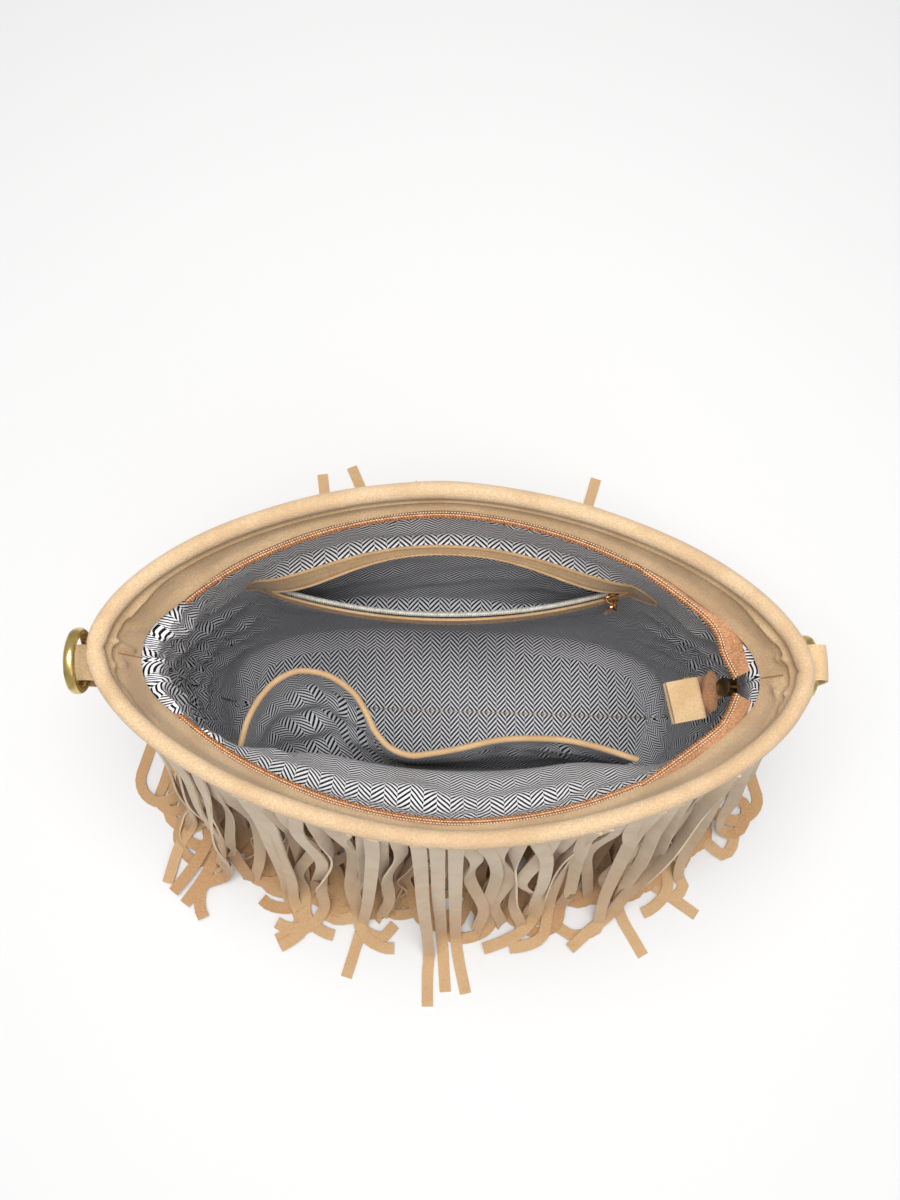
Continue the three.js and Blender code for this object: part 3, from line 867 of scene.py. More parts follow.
@dataclass(frozen=True)
class BagForm:
    """The bag's shape: superellipse sections that widen from the foot to the rim, and the two zip lines on them."""

    height: float = 295.5
    rim: tuple[float, float] = (171.5, 86.0)
    foot: tuple[float, float] = (160.0, 60.0)
    rim_power: float = 1.75
    foot_extra_power: float = 1.45
    belly: float = 3.0
    skew: float = 0.035
    zip_z: float = 280.0
    zip_fall: float = 16.0
    zip_inset: float = 5.0
    zip_spread: float = 9.0
    lip_y: float = 38.0
    lip_radius: float = 341.0
    floor: float = 3.7

    def section(self, z, inset):
        """Half width, half depth and power of the section at z, each drawn in by inset."""
        t = np.clip(np.asarray(z, float) / self.height, 0, 1)
        swell = self.belly * np.sin(math.pi * t) - inset
        a = lerp(self.foot[0], self.rim[0], t) + swell
        b = lerp(self.foot[1], self.rim[1], t) + swell
        return a, b, self.rim_power + self.foot_extra_power * (1 - t) ** 1.5

    def wall(self, turn, z, inset=0.0) -> np.ndarray:
        """The point at an angle round the bag: a ray scaled to where the superellipse's powers sum to one."""
        turn, z, inset = np.broadcast_arrays(*(np.asarray(a, float) for a in (turn, z, inset)))
        a, b, power = self.section(z, inset)
        x, y = self.rim[0] * np.cos(turn), self.rim[1] * np.sin(turn)
        scale = (np.abs(x / a) ** power + np.abs(y / b) ** power) ** (-1 / power)
        return np.stack([x * scale, y * scale - self.skew * x * scale, z], axis=-1)

    def outward(self, turn, z) -> np.ndarray:
        """Horizontal unit vector away from the wall."""
        step = 0.002
        ahead = self.wall(turn + step, z) - self.wall(turn - step, z)
        return unit(np.stack([ahead[..., 1], -ahead[..., 0], 0 * ahead[..., 0]], axis=-1))

    def wall_y(self, x, z, inset, side: Side) -> np.ndarray:
        """Y of one wall at a given x and z."""
        a, b, power = self.section(z, inset)
        inside = np.clip(1 - np.abs(x / a) ** power, 0, 1)
        return side.value * b * inside ** (1 / power) - self.skew * x

    def zip_line(self, turn):
        """Height and inset of the facing's lower edge, which falls and draws in towards the ends."""
        end = np.cos(turn) ** 2
        return self.zip_z - self.zip_fall * end, self.zip_inset + self.zip_spread * end

    def lip(self, x) -> np.ndarray:
        """Y of the zipped pocket's lower lip, an arc of a circle."""
        return self.lip_y + self.lip_radius - np.sqrt(self.lip_radius**2 - x**2)

    def back_bulge(self, x, y, z) -> np.ndarray:
        """How far the pocket's lip pulls the back lining in."""
        fade = (1 - smooth(np.abs(x), 96, 140)) * (1 - smooth(z, 197, 240)) * smooth(z, 15, 185)
        return np.maximum(0, y - self.lip(np.clip(x, -170, 170))) * fade

    def front_bulge(self, x, z) -> np.ndarray:
        """How far the front lining sags in below the zip."""
        return 26 * (1 - smooth(np.abs(x), 60, 150)) * smooth(z, 20, 120) * (1 - smooth(z, 200, 262))

    def lining_inset(self, turn, z) -> np.ndarray:
        """The lining leaves the wall above mid height and meets the facing's lower edge."""
        top, inset = self.zip_line(turn)
        rise = np.clip((z - 120) / (top - 4 - 120), 0, 1)
        return lerp(2.4, inset + 1.4, rise * rise * (3 - 2 * rise))

    def lining(self, turn, z, extra=0.0) -> np.ndarray:
        """The lining's face, with both bulges."""
        inset = self.lining_inset(turn, z)
        bare = self.wall(turn, z, inset)
        point = self.wall(turn, z, inset + extra)
        x, y = bare[..., 0], bare[..., 1]
        sag = np.where(np.sin(turn) > 0, -self.back_bulge(x, y, z), self.front_bulge(x, z))
        point[..., 1] += sag
        return point

    def lining_y(self, x, z, extra, side: Side) -> np.ndarray:
        """Y of one lining face at a given x and z."""
        turn = np.arccos(np.clip(x / self.rim[0], -1, 1))
        inset = self.lining_inset(turn, z)
        bare = self.wall_y(x, z, inset, side)
        y = self.wall_y(x, z, inset + extra, side)
        return y - self.back_bulge(x, bare, z) if side is Side.BACK else y + self.front_bulge(x, z)


FORM = BagForm()


# ---------------------------------------------------------------- sub-assemblies


@dataclass
class Stage:
    """Camera, floor and soft studio light."""

    camera_at: tuple[float, float, float] = (0.0, -0.0676, 0.812)
    tilt: float = 10.6
    lens: float = 32.7
    sensor: float = 36.0
    floor_size: float = 6.0
    sky: str = "#F7F7F7"
    sky_strength: float = 0.52
    key: float = 24.0
    fill: float = 3.0

    def build(self, palette: Palette) -> None:
        """Makes the camera, the floor, the sky and the lamps."""
        scene = bpy.context.scene
        scene.view_settings.view_transform = "Standard"
        data = bpy.data.cameras.new("camera")
        data.lens, data.sensor_width = self.lens, self.sensor
        camera = bpy.data.objects.new("camera", data)
        camera.location = self.camera_at
        camera.rotation_euler = (math.radians(self.tilt), 0, 0)
        scene.collection.objects.link(camera)
        scene.camera = camera
        self.make_floor(palette)
        world = bpy.data.worlds.new("studio")
        scene.world = world
        world.use_nodes = True
        background = world.node_tree.nodes["Background"]
        background.inputs["Color"].default_value = linear(self.sky)
        background.inputs["Strength"].default_value = self.sky_strength
        self.lamp("key_softbox", (-0.05, 0.03, 1.55), 0.8, self.key)
        self.lamp("fill_softbox", (0.7, -0.9, 1.3), 1.2, self.fill)

    def make_floor(self, palette: Palette) -> None:
        """A plain square of board at the bag's foot."""
        half = self.floor_size / 2
        mesh = bpy.data.meshes.new("floor")
        mesh.from_pydata([(-half, -half, 0), (half, -half, 0), (half, half, 0), (-half, half, 0)], [], [(0, 1, 2, 3)])
        mesh.materials.append(palette.floor)
        floor = bpy.data.objects.new("floor", mesh)
        bpy.context.scene.collection.objects.link(floor)

    def lamp(self, name: str, place: tuple[float, float, float], size: float, watts: float) -> None:
        """A square soft lamp that faces the bag.

        Args:
            name: of the lamp.
            place: where it hangs, in metres.
            size: of its side, in metres.
            watts: its power.
        """
        data = bpy.data.lights.new(name, "AREA")
        data.size, data.energy = size, watts
        lamp = bpy.data.objects.new(name, data)
        lamp.location = place
        aim = np.array([0, 0, 0.15]) - np.array(place)
        heading = math.atan2(aim[1], aim[0])
        drop = math.atan2(math.hypot(aim[0], aim[1]), -aim[2])
        lamp.rotation_euler = (drop, 0, heading - math.pi / 2)
        bpy.context.scene.collection.objects.link(lamp)


@dataclass
class Shell:
    """Outer suede: two body panels, the base, the padded rim roll and the facing inside it."""

    panel_thickness: float = 1.6
    base_thickness: float = 2.4
    roll_inset: float = 2.0
    roll_radius: float = 4.45
    seam: float = 0.0045
    panel_top: float = 291.5
    facing_top: float = 290.7
    stitch_z: float = 289.3

    def build(self, palette: Palette) -> None:
        """Makes every shell piece."""
        for side in Side:
            self.make_panel(palette, side)
        self.make_base(palette)
        self.make_roll(palette)
        self.make_facing(palette)
        self.make_seams(palette)

    def make_panel(self, palette: Palette, side: Side) -> None:
        """One body panel: the wall from the base to the roll, with slow hollows in it."""
        start = 0 if side is Side.BACK else math.pi
        turn = np.linspace(start + self.seam, start + math.pi - self.seam, 150)[None, :]
        z = np.linspace(0.2, self.panel_top, 90)[:, None]
        slack = 1.1 * smooth(z, 5, 60) * (1 - smooth(z, 230, 285))
        inset = slack * (0.5 + 0.5 * waves(turn * 110, z + 0 * turn, 4, 85))
        grid = FORM.wall(turn, z, inset)
        solid = cloth(grid, self.panel_thickness)
        name = side.name.lower()
        panel = publish(f"body_panel_{name}", solid, palette.suede, "bag", [f"body_{name}"])

    def make_base(self, palette: Palette) -> None:
        """The base: the foot section as a plate with a turned edge."""
        turn = np.linspace(0, TAU, 200, endpoint=False)
        top = self.base_thickness
        edge = ((0.3, 4.0), (0.0, 2.6), (0.6, 1.8), (top - 0.4, 1.8), (top, 2.6))
        rings = np.array([FORM.wall(turn, z, inset) for z, inset in edge])
        base = publish("base_gusset", skin(rings), palette.suede, "bag", ["base_panel"])

    def make_roll(self, palette: Palette) -> None:
        """The padded rim: a bar round the mouth, drawn in at the side seams and uneven at the gathers."""
        count = 620
        turn = np.linspace(0, TAU, count, endpoint=False)
        path = FORM.wall(turn, FORM.height, self.roll_inset)
        travelled = run_length(np.concatenate([path, path[:1]]))[:-1]
        end = 1 - smooth(np.abs(np.sin(turn)), 0.0, 0.42)
        seam = np.exp(-((FORM.rim[1] * np.sin(turn) / 1.6) ** 2))
        angle = np.linspace(0, TAU, 18, endpoint=False)[None, :]
        lumps = waves(travelled[:, None], angle * 6, 11, 42) * 0.018 + end[:, None] * waves(
            travelled[:, None], angle * 9, 12, 15
        ) * 0.055
        radius = self.roll_radius * (0.985 + lumps - 0.14 * seam[:, None])
        side = np.cross(along(path, closed=True), UP)
        offset = side[:, None] * np.cos(angle)[..., None] + UP * np.sin(angle)[..., None]
        solid = skin(path[:, None] + offset * np.minimum(radius, 4.7)[..., None], closed=True)
        roll = publish("rim_roll", solid, palette.suede, "bag", ["rim_roll_front", "rim_roll_back"])

    def facing_point(self, turn, v, lift=0.0) -> np.ndarray:
        """A point of the facing, from under the roll to the zip, with a seam ridge and puckers at both ends.

        Args:
            turn: angle round the bag.
            v: 0 at the roll, 1 at the zip.
            lift: distance off the surface, towards the inside.

        Returns:
            The points.
        """
        low, inset = FORM.zip_line(turn)
        z = lerp(self.facing_top, low, v)
        arc = np.where(np.cos(turn) < 0, math.pi - turn, np.mod(turn + math.pi, TAU) - math.pi) * 100
        left = np.cos(turn) < 0
        depth = self.facing_top - z
        ridge = 3.6 * np.exp(-(((v - 0.13) / 0.09) ** 2)) - 1.2 * np.exp(-(((v - 0.34) / 0.07) ** 2))
        on_back = smooth(np.sin(turn), -0.25, 0.12)
        left_puckers = folded(arc, depth, [
            Fold((6, 1), (3, 20), 2.0, 2.6), Fold((-9, 2), (-6, 14), 2.4, 1.6), Fold((22, 3), (48, 8), 2.6, 2.0),
            Fold((14, 8), (18, 24), 3.0, 1.2), Fold((-24, 4), (-42, 9), 3.0, 1.4),
        ])
        right_puckers = folded(arc, depth, [
            Fold((8, 1), (10, 12), 2.2, 2.0), Fold((-12, 2), (-9, 12), 2.4, 2.0), Fold((-20, 6), (-6, 16), 2.8, 1.4),
            Fold((20, 2), (44, 8), 2.8, 2.0), Fold((-2, 12), (-4, 26), 3.0, 1.0),
        ])
        pucker = np.where(left, left_puckers, right_puckers) * (1 - 0.7 * smooth(v, 0.6, 1.0))
        soft = 0.5 * waves(turn * 110, depth * 2, 21, 34) * smooth(v, 0.2, 0.5)
        lip = 2.1 * smooth(v, 0.72, 1.0) * smooth(np.abs(np.sin(turn)), 0.12, 0.4)
        total = lerp(1.9, inset, v) + ridge * lerp(0.55, 1.0, on_back) + pucker + soft + lip
        return FORM.wall(turn, z, total + lift)

    def make_facing(self, palette: Palette) -> None:
        """The facing as one closed band of suede."""
        turn = np.linspace(0, TAU, 620, endpoint=False)[None, :]
        v = np.concatenate([np.linspace(0, 0.5, 16), np.linspace(0.55, 1, 9)])[:, None]
        solid = cloth(self.facing_point(turn, v, 0.4), 1.2, wrap=True)
        band = publish(
            "facing_band", solid, palette.facing, "bag", ["facing_front", "facing_back"]
        )

    def make_seams(self, palette: Palette) -> None:
        """Thread lines: stitches below the roll outside, and the sunk side seams of the facing."""
        turn = np.linspace(0, TAU, 900)
        outward = FORM.outward(turn, 289.0)
        row = FORM.wall(turn, self.stitch_z) + outward * 0.25
        outside = stitches(row, 3.3, 2.5, 0.34, outward)
        publish("rim_stitches", outside, palette.thread, "bag")
        v = np.linspace(0.42, 0.98, 30)
        seams = []
        for end in (math.pi, TAU):
            for offset in (0.0, 0.005):
                path = self.facing_point(np.full(v.shape, end + offset), v, 0.55)
                seams.append(tube(path, 0.15, 6, upward=np.array([0.0, 1.0, 0.0])))
        publish("facing_side_seams", joined(seams), palette.thread, "bag")


@dataclass
class Lining:
    """The herringbone lining: a front and a back panel that meet in a seam along the floor."""

    corner: float = 13.0
    thickness: float = 0.5
    seam: float = 0.001
    tuck: float = 0.8
    hole_half: float = 103.0
    hole_low: float = 190.0
    hole_top: float = 204.0
    hole_bow: float = 26.0
    pull_at: tuple[float, float] = (142.0, -9.0)
    pull_reach: float = 22.0

    def panel(self, side: Side) -> tuple[np.ndarray, np.ndarray]:
        """The panel's points and cloth coordinates: down the wall, round a corner and across the floor to the seam.

        Args:
            side: front or back.

        Returns:
            The crumpled grid, and the flat coordinates whose second one is the distance from the floor seam.
        """
        start = 0 if side is Side.BACK else math.pi
        turn = np.linspace(start + self.seam, start + math.pi - self.seam, 221)[None, :]
        top = FORM.zip_line(turn)[0] + self.tuck
        floor, r = FORM.floor + self.thickness, self.corner
        z_wall = lerp(top, floor + r, np.linspace(0, 1, 105)[:, None] ** 0.9)
        wall = FORM.lining(turn, z_wall, -3.4 * (1 - smooth(top - z_wall, 0, 7)))
        bend = np.linspace(0, math.pi / 2, 9)[1:, None]
        corner = FORM.lining(turn, floor + r * (1 - np.sin(bend)) + 0 * turn, r * (1 - np.cos(bend)))
        edge = corner[-1]
        seam_y = -FORM.skew * edge[:, 0] + side.value * 0.3
        across = np.linspace(0, 1, 27)[1:, None]
        x = np.broadcast_to(edge[:, 0], (26, edge.shape[0]))
        flat = np.stack([x, lerp(edge[:, 1], seam_y, across), np.full(x.shape, floor)], axis=-1)
        base = np.concatenate([wall, corner, flat])
        middle = base.shape[1] // 2
        round_it = run_length(base, axis=1)
        u = (round_it - round_it[:, middle:middle + 1]) * -side.value
        v = run_length(base, axis=0)
        v = v[-1:] - v
        grid = self.crumpled(base, u, v, side)
        round_it = run_length(grid, axis=1)
        u = lerp(u, (round_it - round_it[:, middle:middle + 1]) * -side.value, 0.75)
        v = run_length(grid, axis=0)
        return grid, np.stack([u, v[-1:] - v], axis=-1)

    def crumpled(self, base: np.ndarray, u: np.ndarray, v: np.ndarray, side: Side) -> np.ndarray:
        """Moves the points inwards by folds: deep at both ends, puckers under the zip, ripples on the floor.

        Args:
            base: the smooth grid.
            u: distance round the bag on the cloth, in mm.
            v: distance up from the floor seam, in mm.
            side: front or back.

        Returns:
            The crumpled grid; the folds stay low where the top pull swings.
        """
        x, z = base[..., 0], base[..., 2]
        depth = np.maximum(0, base[0, :, 2][None] - z)
        left, right = smooth(-x, 108, 150), smooth(x, 112, 150)
        upper = smooth(z, 40, 110)
        end = left * 8.0 * (0.35 + 0.65 * upper) + right * 6.0 * (0.3 + 0.7 * upper)
        folds = creases(u, v, 31 + side.value, 34) * end
        gathers = np.abs(np.sin(u / 9.5 * math.pi + waves(u, v, 41, 60) * 1.5)) * np.exp(-depth / 22)
        gathers *= 1.5 * (1 - 0.5 * smooth(np.abs(x), 0, 40) * (side is Side.FRONT))
        clear = self.kept_flat(x, z, side)
        soft = (0.5 + 0.5 * waves(u, v, 51 + side.value, 48)) * 2.2 * (1 - clear)
        sag = np.zeros_like(z)
        if side is Side.FRONT:
            sag = folded(u, v, self.front_folds(v)) * (1 - clear)
        ripple = (0.5 + 0.5 * waves(u, v, 61, 30)) * 0.9 * (1 - smooth(z, 4, 14))
        away = (x - self.pull_at[0]) ** 2 + (base[..., 1] - self.pull_at[1]) ** 2
        pull_room = np.exp(-away / self.pull_reach**2) * smooth(z, 190, 215)
        loose = folds + gathers * (1 - clear) + soft * smooth(z, 20, 60) + sag
        move = loose * smooth(depth, 3, 9) * (1 - 0.92 * pull_room) + ripple
        down = np.gradient(base, axis=0)
        round_it = np.gradient(base, axis=1)
        normal = unit(np.cross(round_it, down))
        return base + normal * move[..., None]

    def kept_flat(self, x: np.ndarray, z: np.ndarray, side: Side) -> np.ndarray:
        """1 where a pocket is sewn on and the lining lies flat behind it, 0 elsewhere."""
        if side is Side.BACK:
            return (1 - smooth(np.abs(x), 116, 132)) * smooth(z, 150, 172) * (1 - smooth(z, 236, 248))
        return (1 - smooth(np.abs(x), 108, 124)) * (1 - smooth(z, 208, 226))

    def front_folds(self, v: np.ndarray) -> list[Fold]:
        """The long sags that the heavy front edge makes below the zip."""
        top = float(v.max())
        return [
            Fold((-100, top - 36), (-20, top - 50), 12, 5.0),
            Fold((-70, top - 18), (10, top - 26), 7, 3.0),
            Fold((0, top - 44), (70, top - 40), 12, 4.5),
            Fold((40, top - 20), (110, top - 30), 8, 3.5),
            Fold((-140, top - 20), (-96, top - 60), 9, 4.5),
        ]

    def build(self, palette: Palette) -> None:
        """Makes both panels; the back one has a hole for the zipped pocket."""
        for side in Side:
            grid, uv = self.panel(side)
            keep = None
            if side is Side.BACK:
                middle = (grid[:-1, :-1] + grid[1:, 1:]) / 2
                x, z = middle[..., 0], middle[..., 2]
                bowed = self.hole_top + self.hole_bow * (1 - np.abs(x / self.hole_half) ** 2.4)
                hole = (np.abs(x) < self.hole_half) & (z > self.hole_low) & (z < bowed)
                keep = ~hole
            name = side.name.lower()
            solid = cloth(grid, -self.thickness * side.value, uv, keep=keep)
            panel = publish(f"lining_panel_{name}", solid, palette.lining, "bag", [f"lining_{name}"])


@dataclass
class TopZip:
    """The zip round the mouth: woven tapes, two open coils, and at the right its slider, curled tail and end tab."""

    start: float = 0.13
    leave: float = 0.74
    coil_wide: float = 1.45
    coil_high: float = 1.0
    pitch: float = 1.45
    wire: float = 0.5
    slider_at: tuple[float, float, float] = (142.0, -9.0, 255.0)
    tilt: float = 0.36
    pin_out: float = 2.65 + 1.62

    def slider_point(self, along_it: float) -> list[float]:
        """A point on the slider's axis, measured from its middle towards its mouth."""
        x, y, z = self.slider_at
        return [x + math.sin(self.tilt) * along_it, y, z + math.cos(self.tilt) * along_it]

    def chain(self, side: Side, stations: int = 260) -> np.ndarray:
        """One coil's centre line: below the facing's edge, then free across to the slider's mouth."""
        share = np.linspace(self.start, self.leave, 36)
        turn = math.pi * (1 - share) if side is Side.BACK else math.pi * (1 + share)
        z, inset = FORM.zip_line(turn)
        on_wall = FORM.wall(turn, z - 2.2, inset + 4)
        y = self.slider_at[1]
        mouth = self.slider_point(6.5)
        free = np.array([
            [131, y / 2 + side.value * 28, 267],
            [139, y + side.value * 15, 264],
            [mouth[0], y + side.value * 4, mouth[2] + 3],
        ])
        return resampled(spline(np.concatenate([on_wall, free]), 8), stations)

    def build(self, palette: Palette) -> None:
        """Makes the coils, tapes, slider, pull, tail and tab."""
        for side in Side:
            self.make_coil(palette, side)
            self.make_tape(palette, side)
        self.make_tail(palette)
        self.make_end_tab(palette)
        self.make_slider(palette)
        self.make_pull(palette)

    def make_coil(self, palette: Palette, side: Side) -> None:
        """The wound wire, its two rows of pale stitches and the cord along its inner side."""
        path = self.chain(side)
        across = unit(np.cross(along(path), UP)) * -side.value
        rise = unit(UP * 0.9 + across * 0.35)
        wire = coil(path, rise, self.coil_wide, self.coil_high, self.pitch, self.wire)
        name = side.name.lower()
        publish(f"zip_coil_{name}", wire, palette.coil, "bag", [f"top_zip_coil_{name}"])
        beads = []
        for shift in (-0.62, 0.62):
            row = path + across * shift + rise * (self.coil_high + self.wire * 0.75)
            beads.append(stitches(row, self.pitch, 0.95, 0.3, rise))
        publish(f"zip_stitches_{name}", joined(beads), palette.pale_thread, "bag")
        core = tube(path, 0.62, 6)
        edging = tube(path + across * (self.coil_wide + 0.55) - rise * 0.5, 0.42, 6)
        publish(f"zip_cord_{name}", joined([core, edging]), palette.tape, "bag")

    def make_tape(self, palette: Palette, side: Side) -> None:
        """The woven tape: from under the coil out below the facing, and free where the chain leaves the wall."""
        path = self.chain(side)
        s = run_length(path)
        across = unit(np.cross(along(path), UP)) * side.value
        turn = np.arctan2(path[:, 1] / FORM.rim[1], path[:, 0] / FORM.rim[0])
        low, inset = FORM.zip_line(turn)
        behind = FORM.wall(turn, low - 1.0, np.maximum(inset - 0.8, 2))
        free = smooth(s, s[-1] - 62, s[-1] - 34)
        width = lerp(8.0, 13.0, free) * (1 - 0.25 * smooth(s, s[-1] - 12, s[-1]))
        hanging = path - across * width[:, None]
        hanging[:, 2] -= 1.5 + 3.5 * smooth(s, s[-1] - 30, s[-1])
        outer = behind * (1 - free[:, None]) + hanging * free[:, None]
        inner = path + across * 0.4 - UP * 0.9
        v = np.linspace(0, 1, 9)[:, None, None]
        grid = inner[None] * (1 - v) + outer[None] * v
        curl = np.sin(math.pi * v[..., 0]) * free[None, :] * 1.6
        grid[..., 2] += curl * np.sin(s / 9)[None]
        name = side.name.lower()
        tape = publish(
            f"zip_tape_{name}", cloth(grid, 0.6), palette.tape, "bag", [f"top_zip_tape_{name}"]
        )

    def make_tail(self, palette: Palette) -> None:
        """The closed end of the chain below the slider, its tapes curled to a channel, down to the end tab."""
        line = np.array([
            self.slider_point(-4.5), self.slider_point(-14.5), self.slider_point(-20.5),
            [134, -10.5, 226.5], [127, -11.2, 227.5],
        ])
        path = resampled(spline(line, 10), 60)
        ahead = along(path)
        side = np.array([0.0, 1.0, 0.0])
        normal = unit(np.cross(side, ahead))
        s = run_length(path)
        span = np.linspace(-1, 1, 17)[:, None, None]
        half = lerp(5.0, 10.5, smooth(s, 3, 12))[:, None]
        curl = 3.6 * smooth(s, 2, 14)[:, None]
        grid = path[None] + side * span * half - normal * curl * span**2
        grid += normal * 0.5 * np.sin(span * 5 + s[:, None] / 5)
        tail = publish("zip_tail_tape", cloth(grid, 0.7), palette.tape, "bag", ["zip_tail"])
        middle = path[6:50] + normal[6:50] * -0.6
        teeth = coil(middle, side, 0.9, 1.5, self.pitch, 0.42)
        publish("zip_tail_coil", teeth, palette.coil, "bag")

    def make_end_tab(self, palette: Palette) -> None:
        """The suede square folded over the zip's end: a strip that goes out, turns and comes back under itself."""
        bend = np.linspace(-math.pi / 2, math.pi / 2, 13)
        length, gap = 17.6, 2.0
        low = np.column_stack([np.linspace(-length / 2, length / 2 - gap, 14), np.full(14, -gap)])
        turned = np.column_stack([length / 2 - gap + gap * np.cos(bend), gap * np.sin(bend)])
        high = np.column_stack([np.linspace(length / 2 - gap, -length / 2, 14), np.full(14, gap)])
        route = np.concatenate([low, turned[1:-1], high])
        route[:, 1] *= 1 - 0.35 * smooth(-route[:, 0], 4, length / 2)
        across = np.linspace(-11, 11, 15)[:, None]
        bow = 0.5 * np.cos(across / 11 * math.pi / 2)
        local = np.stack([
            np.broadcast_to(route[:, 0], (15, len(route))),
            np.broadcast_to(across, (15, len(route))),
            route[:, 1] + bow * np.sign(route[:, 1]) * np.abs(route[:, 1] / gap),
        ], axis=-1)
        place = Place(
            (124.8, -13.6, 232.0), (0.9667, 0.1879, -0.1736), (-0.1908, 0.9816, 0.0), (0.1705, 0.0331, 0.9848)
        )
        tab = publish(
            "zip_end_square", cloth(place.points(local), 1.1), palette.tab, "bag", ["zip_end_tab"]
        )
        rows = []
        for y in (-9.2, 9.2):
            row = np.column_stack([np.linspace(-7.6, 6.2, 12), np.full(12, y), np.full(12, gap * 0.83 + 0.75)])
            rows.append(stitches(place.points(row), 2.3, 1.7, 0.27, np.array(place.z)))
        publish("zip_end_stitches", joined(rows), palette.thread, "bag")

    def slider_place(self) -> Place:
        """The slider's frame: X out of its upper plate, Y across it, Z along it towards its mouth."""
        c, s = math.cos(self.tilt), math.sin(self.tilt)
        return Place(self.slider_at, (0, 1, 0), (s, 0, c), (c, 0, -s))

    def make_slider(self, palette: Palette) -> None:
        """Two shield plates, the neck between them and the bridge that holds the pull."""
        place = self.slider_place()
        shield = rounded(10, 11, 3.2, 40)
        shield[:, 0] *= 0.84 + 0.16 * np.clip((shield[:, 1] + 5.5) / 9, 0, 1)
        upper = slab(shield, (2.0, 2.25, 3.05, 3.3), (0.5, 0, 0, 0.5), place)
        lower = slab(shield, (-3.3, -3.05, -2.25, -2.0), (0.5, 0, 0, 0.5), place)
        neck = slab(
            rounded(2.0, 2.4, 3, 16) + [0, 4.25], (-2.2, -1.2, 1.2, 2.2), (0, 0.15, 0.15, 0), place
        )
        arch_angle = np.linspace(0, math.pi, 17)
        arch = np.column_stack([np.zeros(17), -3.6 * np.cos(arch_angle), 2.6 + 3.3 * np.sin(arch_angle) ** 0.55])
        bridge = tube(place.points(arch), 0.62, 8, upward=np.array(place.x), flat=2.0)
        slider = joined([upper, lower, neck, bridge])
        publish("zip_slider", slider, palette.dark_brass, "top_slider", ["top_zip_slider"], 35)

    def make_pull(self, palette: Palette) -> None:
        """The flat pull: a long plate with an eye, hung from the bridge."""
        pin = self.pin_out
        x, y, z = self.slider_at
        origin = (x + math.cos(self.tilt) * pin, y, z - math.sin(self.tilt) * pin)
        place = Place(origin, (0, 1, 0), (0, 0, 1), (1, 0, 0))
        outer = rounded(6.4, 16.4, 5, 40) - [0, 7.6]
        inner = rounded(3.7, 5.3, 3.4, 40) - [0, 3.3]
        plate = framed(outer, inner, 1.2, 0.28, place)
        publish("zip_pull", plate, palette.dark_brass, "top_pull", ["top_zip_pull"], 35)


